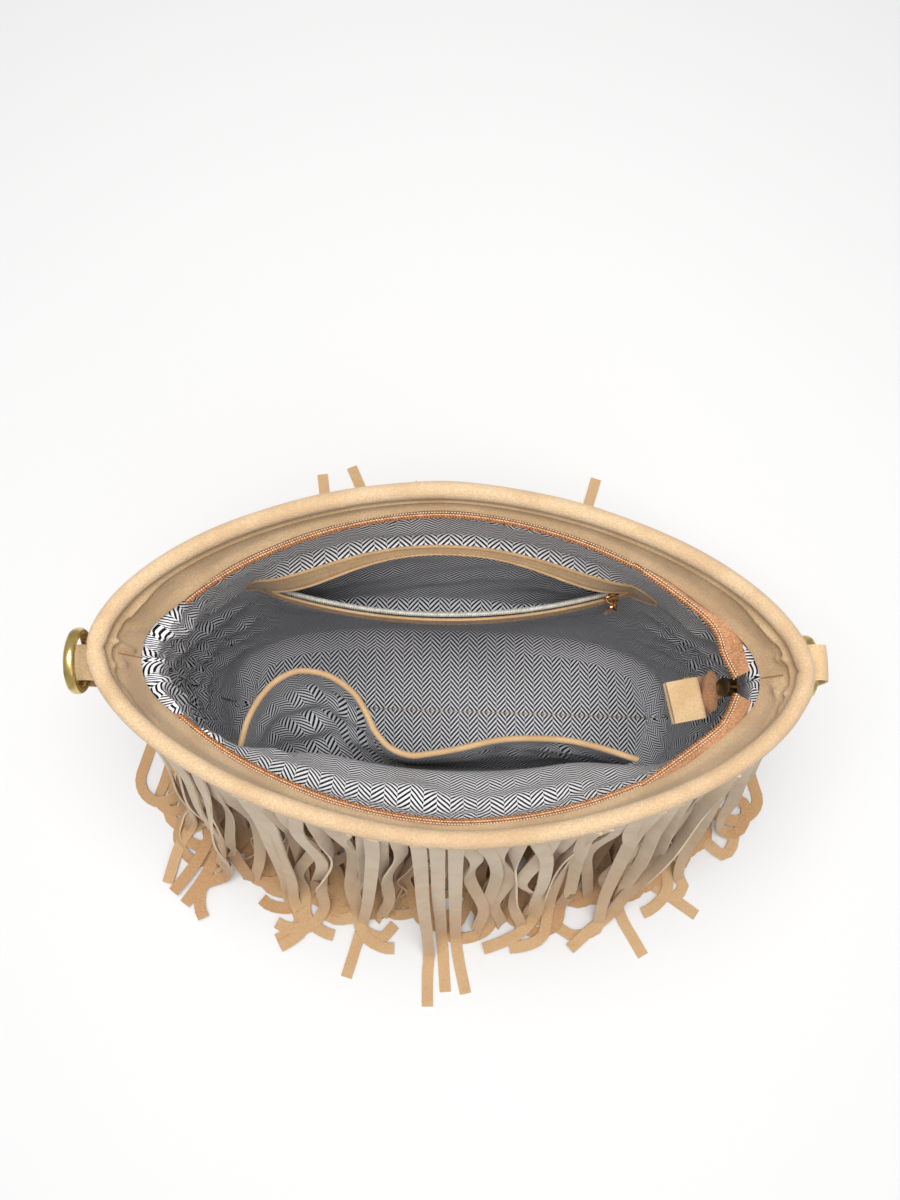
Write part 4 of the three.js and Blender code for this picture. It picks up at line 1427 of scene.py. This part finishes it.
@dataclass
class ZippedPocket:
    """The zipped pocket in the back lining: suede welt, piping, pale coils, herringbone pouch, slider and puller."""

    slit: tuple[float, float, float, float] = (100.0, 193.0, 201.0, 26.0)
    welt: tuple[float, float, float, float] = (116.0, 181.0, 210.0, 21.0)
    slider_x: float = 92.0
    mouth_proud: float = 1.0
    bow_power: float = 2.4
    pouch_top: float = 233.0
    leaf_top: float = 192.5
    fold_z: float = 106.0
    bar_tack_x: float = 103.5

    def outline(self, sizes: tuple[float, float, float, float], grow: float = 0.0) -> np.ndarray:
        """The slit or welt seen flat: a straight low edge and an upper one bowed by a power of x.

        Args:
            sizes: half width, low edge, shoulder height and rise of the bow.
            grow: moves the outline out by so much.

        Returns:
            (points, 2) of x and z, all the way round.
        """
        half, low, shoulder, rise = sizes
        t = np.linspace(-1, 1, 91)
        pinch = 1 - smooth(np.abs(t), 0.93, 1.0) * 0.35
        middle = (low + shoulder) / 2
        x = t * (half + grow)
        upper = shoulder + rise * (1 - np.abs(t) ** self.bow_power) + grow
        lower = np.full(t.shape, low - grow)
        upper, lower = middle + (upper - middle) * pinch, middle + (lower - middle) * pinch
        side = np.linspace(0, 1, 9)[1:-1]
        right = np.column_stack([np.full(7, x[-1]), lerp(lower[-1], upper[-1], side)])
        left = np.column_stack([np.full(7, x[0]), lerp(upper[0], lower[0], side)])
        right[:, 0] += 3.0 * np.sin(math.pi * side)
        left[:, 0] -= 3.0 * np.sin(math.pi * side)
        return np.concatenate([
            np.column_stack([x, lower]), right, np.column_stack([x, upper])[::-1], left,
        ])

    def on_lining(self, flat: np.ndarray, proud) -> np.ndarray:
        """Points of a flat outline laid on the back lining and lifted towards the inside of the bag."""
        x, z = flat[..., 0], flat[..., 1]
        y = FORM.lining_y(x, z, 0.0, Side.BACK) - proud
        return np.stack([x, y, z], axis=-1)

    def build(self, palette: Palette) -> None:
        """Makes every piece of the pocket."""
        self.make_welt(palette)
        self.make_coils(palette)
        self.make_pouch(palette)
        self.make_slider(palette)
        self.make_pull(palette)

    def make_welt(self, palette: Palette) -> None:
        """The welt: a leaf from the slit to its outer edge, padded between, with piped edges and two stitch rows."""
        inner, outer = self.outline(self.slit, 0.6), self.outline(self.welt)
        t = np.linspace(0, 1, 15)[:, None]
        flat = lerp(inner[None], outer[None], t[..., None])
        puff = self.mouth_proud + 1.3 * np.sin(math.pi * np.clip(t, 0, 1)) ** 0.6
        grid = self.on_lining(flat, puff - 0.35 * np.exp(-(((t - 0.5) / 0.12) ** 2)))
        solid = cloth(grid, -0.9, wrap=True)
        welt = publish("pocket_welt_leaf", solid, palette.welt, "bag", ["pocket_welt"])
        face = np.array([0.0, -1.0, 0.0])
        edges = []
        for outline, radius in ((outer, 0.95), (inner, 0.8)):
            path = self.on_lining(outline, self.mouth_proud + 0.35)
            edges.append(tube(path, radius, 8, closed=True, upward=face))
        publish("pocket_piping", joined(edges), palette.piping, "bag")
        rows = []
        for share in (0.28, 0.84):
            proud = self.mouth_proud + 1.35 * math.sin(math.pi * share) ** 0.6 + 0.1
            path = self.on_lining(lerp(inner, outer, share), proud)
            rows.append(stitches(np.concatenate([path, path[:1]]), 2.6, 1.95, 0.22, face))
        for x in (-self.bar_tack_x, self.bar_tack_x):
            bar = np.array([[x, 193.5], [x, 202.5]])
            rows.append(stitches(resampled(self.on_lining(bar, 2.5), 10), 1.2, 1.0, 0.42, face))
        publish("pocket_stitches", joined(rows), palette.thread, "bag")

    def lip_path(self, lift: float = 0.0, in_by: float = 0.0) -> np.ndarray:
        """The lower coil's line: the lip's arc at the height of the slit's low edge."""
        half = self.slit[0] - 2
        x = np.linspace(-half, half, 160)
        return np.column_stack([x, FORM.lip(x) + 1.4 + in_by, np.full(160, 194.8 + lift)])

    def upper_path(self, rise_by: float = 0.0, back: float = 0.0) -> np.ndarray:
        """The upper coil's line, just behind the slit's bowed edge."""
        half, _, shoulder, rise = self.slit
        x = np.linspace(-half + 4, half - 4, 160)
        z = shoulder + rise * (1 - np.abs(x / half) ** self.bow_power) + 1.4 + rise_by
        return np.column_stack([x, FORM.lining_y(x, z, 0.0, Side.BACK) + 1.6 + back, z])

    def make_coils(self, palette: Palette) -> None:
        """Both coils with their tapes and a fine cord."""
        for name, path, tape_end, rise in (
            ("lower", self.lip_path(), self.lip_path(-6.5, 2.2), np.array([0.0, 0.25, 1.0])),
            ("upper", self.upper_path(), self.upper_path(7.0, 0.6), np.array([0.0, -0.8, -0.6])),
        ):
            wire = coil(path, unit(rise), 1.25, 0.85, 1.3, 0.42)
            cord = tube(path, 0.55, 6)
            node = f"pocket_zip_{name}"
            publish(f"pocket_coil_{name}", joined([wire, cord]), palette.pale_coil, "bag", [node])
            t = np.linspace(0, 1, 5)[:, None, None]
            near = path + np.array([0, 0.9, -0.9 if name == "lower" else 0.9])
            grid = near[None] * (1 - t) + tape_end[None] * t
            tape = publish(f"pocket_tape_{name}", cloth(grid, 0.45), palette.pale_tape, "bag")

    def make_pouch(self, palette: Palette) -> None:
        """The pouch behind the slit: a leaf down the bag's wall, a fold at the bottom and a leaf up to the lip."""
        x = np.linspace(-96, 96, 70)[None, :]
        down = np.linspace(0, 1, 46)[:, None]
        z = lerp(self.pouch_top, self.fold_z, down)
        back = FORM.wall_y(x, z, 3.4, Side.BACK) - 1.5 * smooth(down, 0, 0.5) * (1 + waves(x, z, 71, 40))
        front_z = lerp(self.leaf_top, self.fold_z, down)
        front = FORM.lining_y(x, front_z, 0.0, Side.BACK) + 2.0
        front = np.minimum(front, FORM.wall_y(x, front_z, 3.4, Side.BACK) - 4.4)
        bend = np.linspace(0, math.pi, 9)[1:-1, None]
        low_back, low_front = back[-1], front[-1]
        middle, half = (low_back + low_front) / 2, (low_back - low_front) / 2
        fold_y = middle + half * np.cos(bend)
        fold_z = self.fold_z - half * np.sin(bend)
        rows = [
            np.stack([np.broadcast_to(x, back.shape), back, np.broadcast_to(z, back.shape)], axis=-1),
            np.stack([np.broadcast_to(x, fold_y.shape), fold_y, fold_z], axis=-1),
            np.stack([
                np.broadcast_to(x, front.shape), front[::-1], np.broadcast_to(front_z[::-1], front.shape)
            ], axis=-1),
        ]
        grid = np.concatenate(rows)
        distance = run_length(grid, axis=0)
        uv = np.stack([np.broadcast_to(x, distance.shape), distance], axis=-1)
        pouch = publish(
            "pocket_pouch_cloth", cloth(grid, 0.45, uv), palette.lining, "bag", ["pocket_pouch"]
        )

    def slider_place(self, z: float) -> Place:
        """The slider's frame at a height: X along the lip, Y across it towards the wall, Z up."""
        turn = math.asin(self.slider_x / FORM.lip_radius)
        y = float(FORM.lip(np.array(self.slider_x))) + 1.4
        c, s = math.cos(turn), math.sin(turn)
        return Place((self.slider_x, y, z), (c, s, 0), (-s, c, 0), (0, 0, 1))

    def make_slider(self, palette: Palette) -> None:
        """Two upright plates astride the coil, their neck, and a bridge towards the inside of the bag."""
        base = self.slider_place(196.55)
        upright = Place(base.origin, base.x, (0, 0, 1), base.y)
        outline = rounded(9, 5.9, 3.4, 32)
        parts = [
            slab(outline, (2.0, 2.2, 2.9, 3.1), (0.4, 0, 0, 0.4), upright),
            slab(outline, (-3.1, -2.9, -2.2, -2.0), (0.4, 0, 0, 0.4), upright),
            slab(rounded(3.0, 5.4, 4, 16), (0.65, 0.9, 2.7, 2.95), (0.3, 0, 0, 0.3), base),
        ]
        angle = np.linspace(0, math.pi, 17)
        arch = np.column_stack([-3.2 * np.cos(angle), -2.6 - 3.9 * np.sin(angle) ** 0.5, np.full(17, 0.95)])
        parts.append(tube(base.points(arch), 0.58, 8))
        slider = joined(parts)
        publish("pocket_zip_slider", slider, palette.rose_gold, "pocket_slider", ["pocket_slider"], 35)

    def make_pull(self, palette: Palette) -> None:
        """The small ring and the flat puller that hangs from it."""
        base = self.slider_place(196.5)
        angle = np.linspace(0, TAU, 36, endpoint=False)
        ring_path = np.column_stack([np.zeros(36), -7.9 + 3.2 * np.cos(angle), 3.2 * np.sin(angle)])
        ring = tube(base.points(ring_path), 0.58, 8, closed=True, upward=np.array(base.x))
        leaf = Place(tuple(base.points(np.array([0, -7.9, -14.2]))), base.x, base.z, base.y)
        outline = rounded(7, 22, 5, 36)
        outline[:, 0] *= 0.86 + 0.14 * np.clip((11 - outline[:, 1]) / 14, 0, 1)
        plate = slab(outline, (-0.7, -0.45, 0.45, 0.7), (0.35, 0, 0, 0.35), leaf)
        pull = joined([ring, plate])
        publish("pocket_zip_pull", pull, palette.rose_gold, "pocket_pull", ["pocket_pull"], 35)


@dataclass
class SlipPockets:
    """The open pockets on the front lining: a bound herringbone leaf, full at the left and flat at the right."""

    top: float = 213.0
    low: float = 95.0
    left: float = -115.0
    divider: float = -22.0
    stations: int = 400
    line: tuple[tuple[float, float], ...] = (
        (-115, -41), (-110, -21), (-100, -5), (-87, 3.6), (-75, 4), (-63.8, 0.3), (-52.3, -8.5), (-45.8, -18.8),
        (-40.9, -28.5), (-32.7, -37.4), (-22, -41.5), (-13, -41), (5, -38), (29.6, -33), (59, -33), (80, -37),
        (102, -44),
    )

    def edge(self, u: np.ndarray) -> tuple[np.ndarray, np.ndarray]:
        """X and Y of the pockets' top edge at a share of its length: full at the left, flat along the right."""
        points = np.array([(x, y, 0.0) for x, y in self.line])
        path = resampled(spline(points, 12), self.stations)
        share = np.linspace(0, 1, self.stations)
        return np.interp(u, share, path[:, 0]), np.interp(u, share, path[:, 1])

    def surface(self, u: np.ndarray, z: np.ndarray) -> np.ndarray:
        """The leaf: from its own edge line at the top it closes on the lining towards its foot."""
        x, edge_y = self.edge(u)
        v = (self.top - z) / (self.top - self.low)
        face = FORM.lining_y(x, z, 0.8, Side.FRONT) + 1.0
        y = np.maximum(face, lerp(edge_y, face, np.clip(v, 0, 1) ** 1.6))
        loose = smooth(y - face, 0.5, 12)
        y = y + loose * (2.6 * waves(x * 1.4, z, 81, 36) * smooth(v, 0.05, 0.3))
        return np.stack([x + 0 * z, y, z + 0 * x], axis=-1)

    def build(self, palette: Palette) -> None:
        """Makes the leaf, its binding and the thread lines."""
        u = np.linspace(0, 1, 150)[None, :]
        z = np.linspace(self.top, self.low, 72)[:, None]
        grid = self.surface(u, z)
        round_it = run_length(grid, axis=1)
        uv = np.stack([round_it + self.left, np.broadcast_to(z + 3.0, round_it.shape)], axis=-1)
        leaf = publish("slip_leaf", cloth(grid, 0.8, uv), palette.lining, "bag", ["slip_pocket"])
        fine = np.linspace(0, 1, 240)
        path = self.surface(fine, np.full(240, self.top))
        path[:, 1] = np.maximum(path[:, 1], FORM.lining_y(path[:, 0], path[:, 2], 0.8, Side.FRONT) + 2.0)
        path[:, 2] = self.top + 0.9
        binding = tube(resampled(path, 240), 1.75, 12, flat=1.35)
        band = publish("slip_binding", binding, palette.piping, "bag", ["slip_pocket_binding"])
        rows = []
        for x_shift in (-1.0, 1.0):
            z_line = np.linspace(self.top - 3, self.low + 4, 50)
            share = np.linspace(0, 1, self.stations)
            split = np.interp(self.divider + x_shift, self.edge(share)[0], share)
            line = self.surface(np.full(50, split), z_line)
            line[:, 1] += 0.3
            rows.append(stitches(line, 2.6, 1.9, 0.2, np.array([0.0, 1.0, 0.0])))
        publish("slip_stitches", joined(rows), palette.thread, "bag")


@dataclass(frozen=True)
class Strand:
    """A fringe strand given one by one: where it leaves the rim, where it meets the table and how its end runs on."""

    rim_x: float
    foot: tuple[float, float]
    run: tuple[tuple[float, float], ...]
    twist: float = 0.0
    bow: float = 0.0
    low: float = 0.9


@dataclass
class Tier:
    """One row of the fringe and its cut."""

    name: str
    side: Side
    top: float
    length: float
    spread: float
    pitch: float
    seed: int
    off: float
    node: str


@dataclass
class Fringe:
    """The fringe: four rows of suede strands that hang from the rim, lean out and fold, stray or curl."""

    width: float = 7.9
    thickness: float = 1.25
    stations: int = 64
    end_angle: float = 20.0
    spread: float = 214.0
    give: float = 18.0

    def tiers(self) -> list[Tier]:
        """The four rows."""
        return [
            Tier("fringe_strands_front", Side.FRONT, 285.0, 331, 62, 8.4, 5, 1.3, "fringe_front_outer"),
            Tier("fringe_strands_back", Side.BACK, 285.0, 331, 60, 8.4, 6, 1.3, "fringe_back_outer"),
            Tier("fringe_under_front", Side.FRONT, 176.0, 285, 50, 5.3, 7, 1.0, "fringe_front_inner"),
            Tier("fringe_under_back", Side.BACK, 176.0, 285, 50, 5.3, 8, 1.0, "fringe_back_inner"),
        ]

    def hand_set(self, tier: Tier) -> list[Strand]:
        """The strands that give the outer rows their own look."""
        if tier.name == "fringe_strands_front":
            return [
                Strand(-38, (-62, -150), ((-66, -164), (-71, -180)), 0.2, 8),
                Strand(-15, (-15, -172), ((-16, -187), (-16, -206)), 0.1, 9),
                Strand(-6, (-6, -158), ((-5, -172), (-4, -188)), 0.3, 10),
                Strand(3, (4, -160), ((6, -176), (10, -195)), -0.3, 9),
                Strand(-152, (-186, -82), ((-196, -98), (-204, -126)), 0.9, 8, 3.0),
                Strand(-146, (-172, -88), ((-182, -108), (-200, -132)), 1.3, 10, 6.0),
                Strand(-140, (-166, -98), ((-176, -118), (-190, -138)), 0.5, 10, 4.4),
                Strand(-128, (-160, -118), ((-178, -126), (-176, -148), (-150, -164)), 1.1, 14, 4.0),
                Strand(-104, (-116, -132), ((-108, -150), (-124, -163), (-150, -170)), 0.5, 6, 1.0),
                Strand(-98, (-111, -136), ((-104, -154), (-122, -168), (-148, -176)), 0.5, 5, 2.6),
                Strand(70, (60, -146), ((46, -160), (14, -170), (-20, -160)), 1.35, 0, 4.2),
                Strand(76, (70, -140), ((64, -162), (36, -168), (10, -156)), -1.3, 0, 4.6),
                Strand(103, (106, -150), ((104, -156), (88, -160), (70, -150)), 0.2, 3, 1.2),
                Strand(112, (120, -138), ((124, -150), (132, -164)), 0.7, 9),
                Strand(119, (142, -122), ((154, -130), (171, -142)), 0.9, 8),
                Strand(140, (112, -146), ((100, -156), (84, -170)), 1.2, 12, 3.6),
                Strand(146, (164, -118), ((168, -126), (160, -134), (146, -124)), 0.3, 6, 1.2),
                Strand(155, (196, -86), ((206, -92), (198, -104), (182, -92)), 0.6, 8, 2.4),
                Strand(160, (204, -62), ((216, -70), (208, -88), (190, -84)), 0.5, 9, 3.8),
            ]
        if tier.name == "fringe_strands_back":
            return [
                Strand(-92, (-94, 142), ((-95, 154), (-97, 170)), 0.9, 8),
                Strand(-60, (-62, 150), ((-66, 165), (-74, 184)), 0.6, 8),
                Strand(-50, (-52, 144), ((-46, 156), (-34, 166)), 1.1, 9),
                Strand(98, (102, 142), ((105, 154), (110, 170)), 0.8, 8),
            ]
        return []

    def frames(self, tier: Tier, turn: np.ndarray) -> tuple[np.ndarray, np.ndarray, np.ndarray]:
        """Rim point, outward and sideways unit vectors of each strand."""
        outward = FORM.outward(turn, tier.top)
        rim = FORM.wall(turn, tier.top) + outward * tier.off
        return rim, outward, np.cross(UP, outward)

    def drawn(self, tier: Tier, rng: np.random.Generator) -> tuple[np.ndarray, np.ndarray, np.ndarray]:
        """Control points, twists and rim angles of the strands that are left to chance.

        Args:
            tier: the row.
            rng: its own random numbers.

        Returns:
            (strands, 9, 3) points, (strands,) twists and (strands,) rim angles.
        """
        limit = math.radians(self.end_angle)
        start = limit if tier.side is Side.BACK else math.pi + limit
        fine = np.linspace(start, start + math.pi - 2 * limit, 800)
        travelled = run_length(FORM.wall(fine, tier.top))
        count = int(travelled[-1] / tier.pitch)
        turn = np.interp((np.arange(count) + 0.5) * tier.pitch, travelled, fine)
        index = np.arange(count)
        rim, outward, aside = self.frames(tier, turn)
        drift = waves(index * 1.0, 0 * index, tier.seed, 11) * 13 + rng.normal(0, 5, count)
        reach = tier.spread * (1 + 0.13 * waves(index * 1.0, 0 * index, tier.seed + 1, 7)) + rng.normal(0, 3.5, count)
        bow = rng.normal(3, 3.2, count)
        pile = (index * 7 % 7) * 1.45 + 0.9
        choice = rng.random(count)
        outer = tier.top > 200
        curls, strays = choice < (0.3 if outer else 0.8), choice > 0.98
        kink = rng.normal(0, 5, (4, count))
        hand = np.where(rng.random(count) < 0.5, -1.0, 1.0)
        zero = np.zeros(count)

        def local(e, d, z):
            """Points from sideways, outward and height values."""
            flat = rim[:, :2] + aside[:, :2] * e[:, None] + outward[:, :2] * d[:, None]
            return np.column_stack([flat, z + zero])

        top = tier.top
        head = [
            local(zero, zero, top), local(zero, 1.2 + zero, top - 0.05 * top),
            local(0.12 * drift + 0.5 * kink[0], 0.13 * reach + 0.5 * bow + 2, 0.74 * top),
            local(0.4 * drift + kink[1], 0.36 * reach + bow + 0.6 * kink[2], 0.48 * top),
            local(0.78 * drift + kink[3], 0.74 * reach + 0.5 * bow, 0.17 * top),
            local(drift, reach, 7.5 + pile),
        ]
        slip = drift + rng.normal(0, 13, count)
        under = [local(drift, reach + 3.6, pile + 2.2), local(slip, reach - 16, pile), local(slip, reach - 60, pile)]
        radius = rng.uniform(9, 24, count)
        around = [
            local(drift + hand * radius * (1 - math.cos(phase)), reach + radius * math.sin(phase), pile + height)
            for phase, height in ((0.9, 2.5), (2.0, 1.0), (3.2, 0.0))
        ]
        out = [
            local(drift * 1.05, reach + 12, zero + 1.2), local(drift * 1.15, reach + 34, zero + 0.9),
            local(drift * 1.3, reach + 70, zero + 0.9),
        ]
        points = np.stack(head, axis=1)
        tails = np.stack([np.stack(t, axis=1) for t in (under, around, out)])
        kind = np.where(curls, 1, np.where(strays, 2, 0))
        tail = tails[kind, index]
        twist = rng.normal(0, 0.6, count) + np.where(curls, hand * 0.7, 0)
        return np.concatenate([points, tail], axis=1), twist, turn

    def placed(self, tier: Tier, strand: Strand) -> np.ndarray:
        """Nine control points of a listed strand."""
        turn = math.acos(strand.rim_x / FORM.rim[0])
        turn = np.array([turn if tier.side is Side.BACK else TAU - turn])
        rim, outward, _ = self.frames(tier, turn)
        start, away = rim[0] + outward[0] * 1.6, outward[0]
        foot = np.array([*strand.foot, 0.0])
        shares = ((0.0, 1.0, 0.0), (0.02, 0.95, 0.0), (0.13, 0.74, 0.5), (0.36, 0.48, 1.0), (0.73, 0.17, 0.5))
        points = []
        for share, height, push in shares:
            point = lerp(start, foot, share) + away * strand.bow * push
            points.append([point[0], point[1], height * tier.top])
        points.append([*strand.foot, 5.0 + strand.low])
        run = list(strand.run)
        while len(run) < 3:
            last, before = np.array(run[-1]), np.array(run[-2])
            run.append(tuple(last + (last - before)))
        points += [[x, y, strand.low + 0.6 * (k == 0)] for k, (x, y) in enumerate(run)]
        return np.array(points)

    def strands(self, paths: np.ndarray, twist: np.ndarray, tier: Tier) -> Solid:
        """Ribbons along the paths: cut to length, broad side out at the rim, flat on the table, twisted between.

        Args:
            paths: (strands, 9, 3) control points.
            twist: most that each strand turns about itself, in radians.
            tier: the row, for the cut length.

        Returns:
            All the strands as one mesh.
        """
        last = paths[:, -1:] + (paths[:, -1:] - paths[:, -2:-1]) * 4
        dense = spline(np.concatenate([paths, last], axis=1), 14)
        line = np.stack([resampled(path, self.stations, tier.length) for path in dense])
        line[..., 2] = np.maximum(line[..., 2], self.thickness * 0.5 + 0.15)
        beyond = np.maximum(np.abs(line[..., 0]) - self.spread, 0)
        line[..., 0] -= np.sign(line[..., 0]) * (beyond - self.give * np.tanh(beyond / self.give))
        ahead = along(line)
        rim_side = np.cross(UP, unit(line[:, 9] - line[:, 0]) * [1, 1, 0])
        rim_side = unit(rim_side)[:, None]
        hung = unit(rim_side - ahead * np.sum(rim_side * ahead, axis=-1, keepdims=True))
        laid = unit(np.cross(ahead, UP))
        swap = np.sign(np.sum(laid[:, 1:] * laid[:, :-1], axis=-1, keepdims=True))
        swap = np.concatenate([np.ones_like(swap[:, :1]), np.cumprod(np.where(swap == 0, 1, swap), axis=1)], axis=1)
        laid = laid * swap * np.sign(np.sum(laid[:, 26:27] * hung[:, 26:27], axis=-1, keepdims=True))
        down = smooth(-line[..., 2:3], -70, -16)
        side = unit(lerp(hung, laid, down))
        side = unit(side - ahead * np.sum(side * ahead, axis=-1, keepdims=True))
        face = np.cross(ahead, side)
        share = np.linspace(0, 1, self.stations)[None, :, None]
        turn = twist[:, None, None] * np.sin(math.pi * np.clip(share * 1.15, 0, 1)) ** 1.3
        shingle = -0.3 * np.sign(line[:, :1, :1]) * tier.side.value
        turn = turn + shingle * (1 - down) * smooth(share, 0.03, 0.15)
        side, face = side * np.cos(turn) + face * np.sin(turn), face * np.cos(turn) - side * np.sin(turn)
        half, thick = self.width / 2, self.thickness / 2
        cup = 0.35 * np.sin(share * 9 + np.arange(len(line))[:, None, None])
        section = [(-1, 1, 0), (0, 1, 1), (1, 1, 0), (1, -1, 0), (0, -1, 1), (-1, -1, 0)]
        rings = np.stack(
            [line + side * (a * half) + face * (b * thick + c * cup) for a, b, c in section], axis=2
        )
        rings[..., 2] = np.maximum(rings[..., 2], 0.12)
        layers = [Layer.FACE.value] * 2 + [Layer.EDGE.value] + [Layer.BACK.value] * 2 + [Layer.EDGE.value]
        return skin(rings, layers=layers)

    def build(self, palette: Palette) -> None:
        """Makes the four rows."""
        for tier in self.tiers():
            rng = np.random.default_rng(tier.seed)
            paths, twist, turn = self.drawn(tier, rng)
            own = self.hand_set(tier)
            if own:
                rim_x = FORM.wall(turn, tier.top)[:, 0]
                clash = np.min(np.abs(rim_x[:, None] - np.array([s.rim_x for s in own])), axis=1) < 3.2
                paths = np.concatenate([paths[~clash], np.stack([self.placed(tier, s) for s in own])])
                twist = np.concatenate([twist[~clash], [s.twist for s in own]])
            solid = self.strands(paths, twist, tier)
            outer = tier.top > 200
            material = palette.fringe if outer else palette.inner_fringe
            piece = publish(tier.name, solid, material, "bag", [tier.node], 50)


@dataclass
class RingEnds:
    """A ring at each end, held in a folded suede tab."""

    outer: float = 16.0
    inner: float = 12.0
    width: float = 5.3
    centre_x: float = 178.2
    loop_z: float = 280.0
    reach: float = 12.2
    tab_width: float = 20.0

    def build(self, palette: Palette) -> None:
        """Makes both rings and both tabs."""
        for sign, name in ((-1, "left"), (1, "right")):
            self.make_ring(palette, sign, name)
            self.make_tab(palette, sign, name)

    def make_ring(self, palette: Palette, sign: int, name: str) -> None:
        """The ring: an oval section, flatter inside than out, turned round its centre."""
        angle = np.linspace(0, TAU, 96, endpoint=False)[:, None]
        section = np.linspace(0, TAU, 20, endpoint=False)[None, :]
        middle, half = (self.outer + self.inner) / 2, (self.outer - self.inner) / 2
        bulge = np.sign(np.cos(section)) * np.abs(np.cos(section)) ** 0.9 * half
        across = np.sign(np.sin(section)) * np.abs(np.sin(section)) ** 0.8 * self.width / 2
        radius = middle + bulge
        centre = (sign * self.centre_x, 0.0, self.loop_z - sign * self.reach)
        points = np.stack([
            across + 0 * angle, radius * np.cos(angle), radius * np.sin(angle),
        ], axis=-1)
        solid = skin(np.array(centre) + points, closed=True)
        publish(f"ring_metal_{name}", solid, palette.ring_brass, f"{name}_ring", [f"ring_{name}"], 60)

    def make_tab(self, palette: Palette, sign: int, name: str) -> None:
        """The tab: a strip up the wall, round the ring and down again, sewn through both leaves."""
        centre = self.centre_x - FORM.wall(np.array(0.0), self.loop_z)[0]
        radius, stem = 5.8, 31.0
        bend = np.linspace(-0.25 * math.pi, 1.06 * math.pi, 26)
        loop = np.column_stack([radius * np.cos(bend), radius * np.sin(bend)])
        inner_x, outer_x = -radius + 0.1, -radius + 1.9
        down = np.linspace(0, 1, 16)[1:]
        inner_leaf = np.column_stack([lerp(loop[-1, 0], inner_x, down ** 0.5), lerp(loop[-1, 1], -stem, down)])
        outer_leaf = np.column_stack([
            lerp(loop[0, 0], outer_x, smooth(down, 0, 0.45)), lerp(loop[0, 1], -stem + 0.4, down),
        ])[::-1]
        route = np.concatenate([outer_leaf, loop, inner_leaf])
        half = self.tab_width / 2
        y = np.linspace(-half, half, 13)[:, None]
        wall_x = np.abs(FORM.wall(np.array(0.0), self.loop_z)[0]) + centre
        pinch = 1 - 0.13 * smooth(route[:, 1], -6, 2)
        grid = np.stack([
            sign * (wall_x + route[:, 0] - 0.4 * (y / half) ** 2),
            y * pinch,
            self.loop_z + route[:, 1] + 0 * y,
        ], axis=-1)
        solid = cloth(grid, 1.3 * sign)
        tab = publish(f"side_tab_leaf_{name}", solid, palette.tab, "bag", [f"side_tab_{name}"])
        rows = []
        face = np.array([float(sign), 0.0, 0.0])
        for y_row in (-half + 2, half - 2):
            z = np.linspace(self.loop_z - 10, self.loop_z - stem + 2, 20)
            x = np.full(20, sign * (wall_x + outer_x + 0.9))
            rows.append(stitches(np.column_stack([x, np.full(20, y_row), z]), 2.6, 1.9, 0.26, face))
        publish(f"side_tab_stitches_{name}", joined(rows), palette.thread, "bag")


def main() -> None:
    """Builds the scene in order."""
    logging.basicConfig(level=logging.INFO, format="%(message)s")
    palette = Palette()
    for assembly in (Stage(), Shell(), Lining(), TopZip(), ZippedPocket(), SlipPockets(), Fringe(), RingEnds()):
        LOG.info("building %s", type(assembly).__name__)
        assembly.build(palette)


if __name__ == "__main__":
    main()
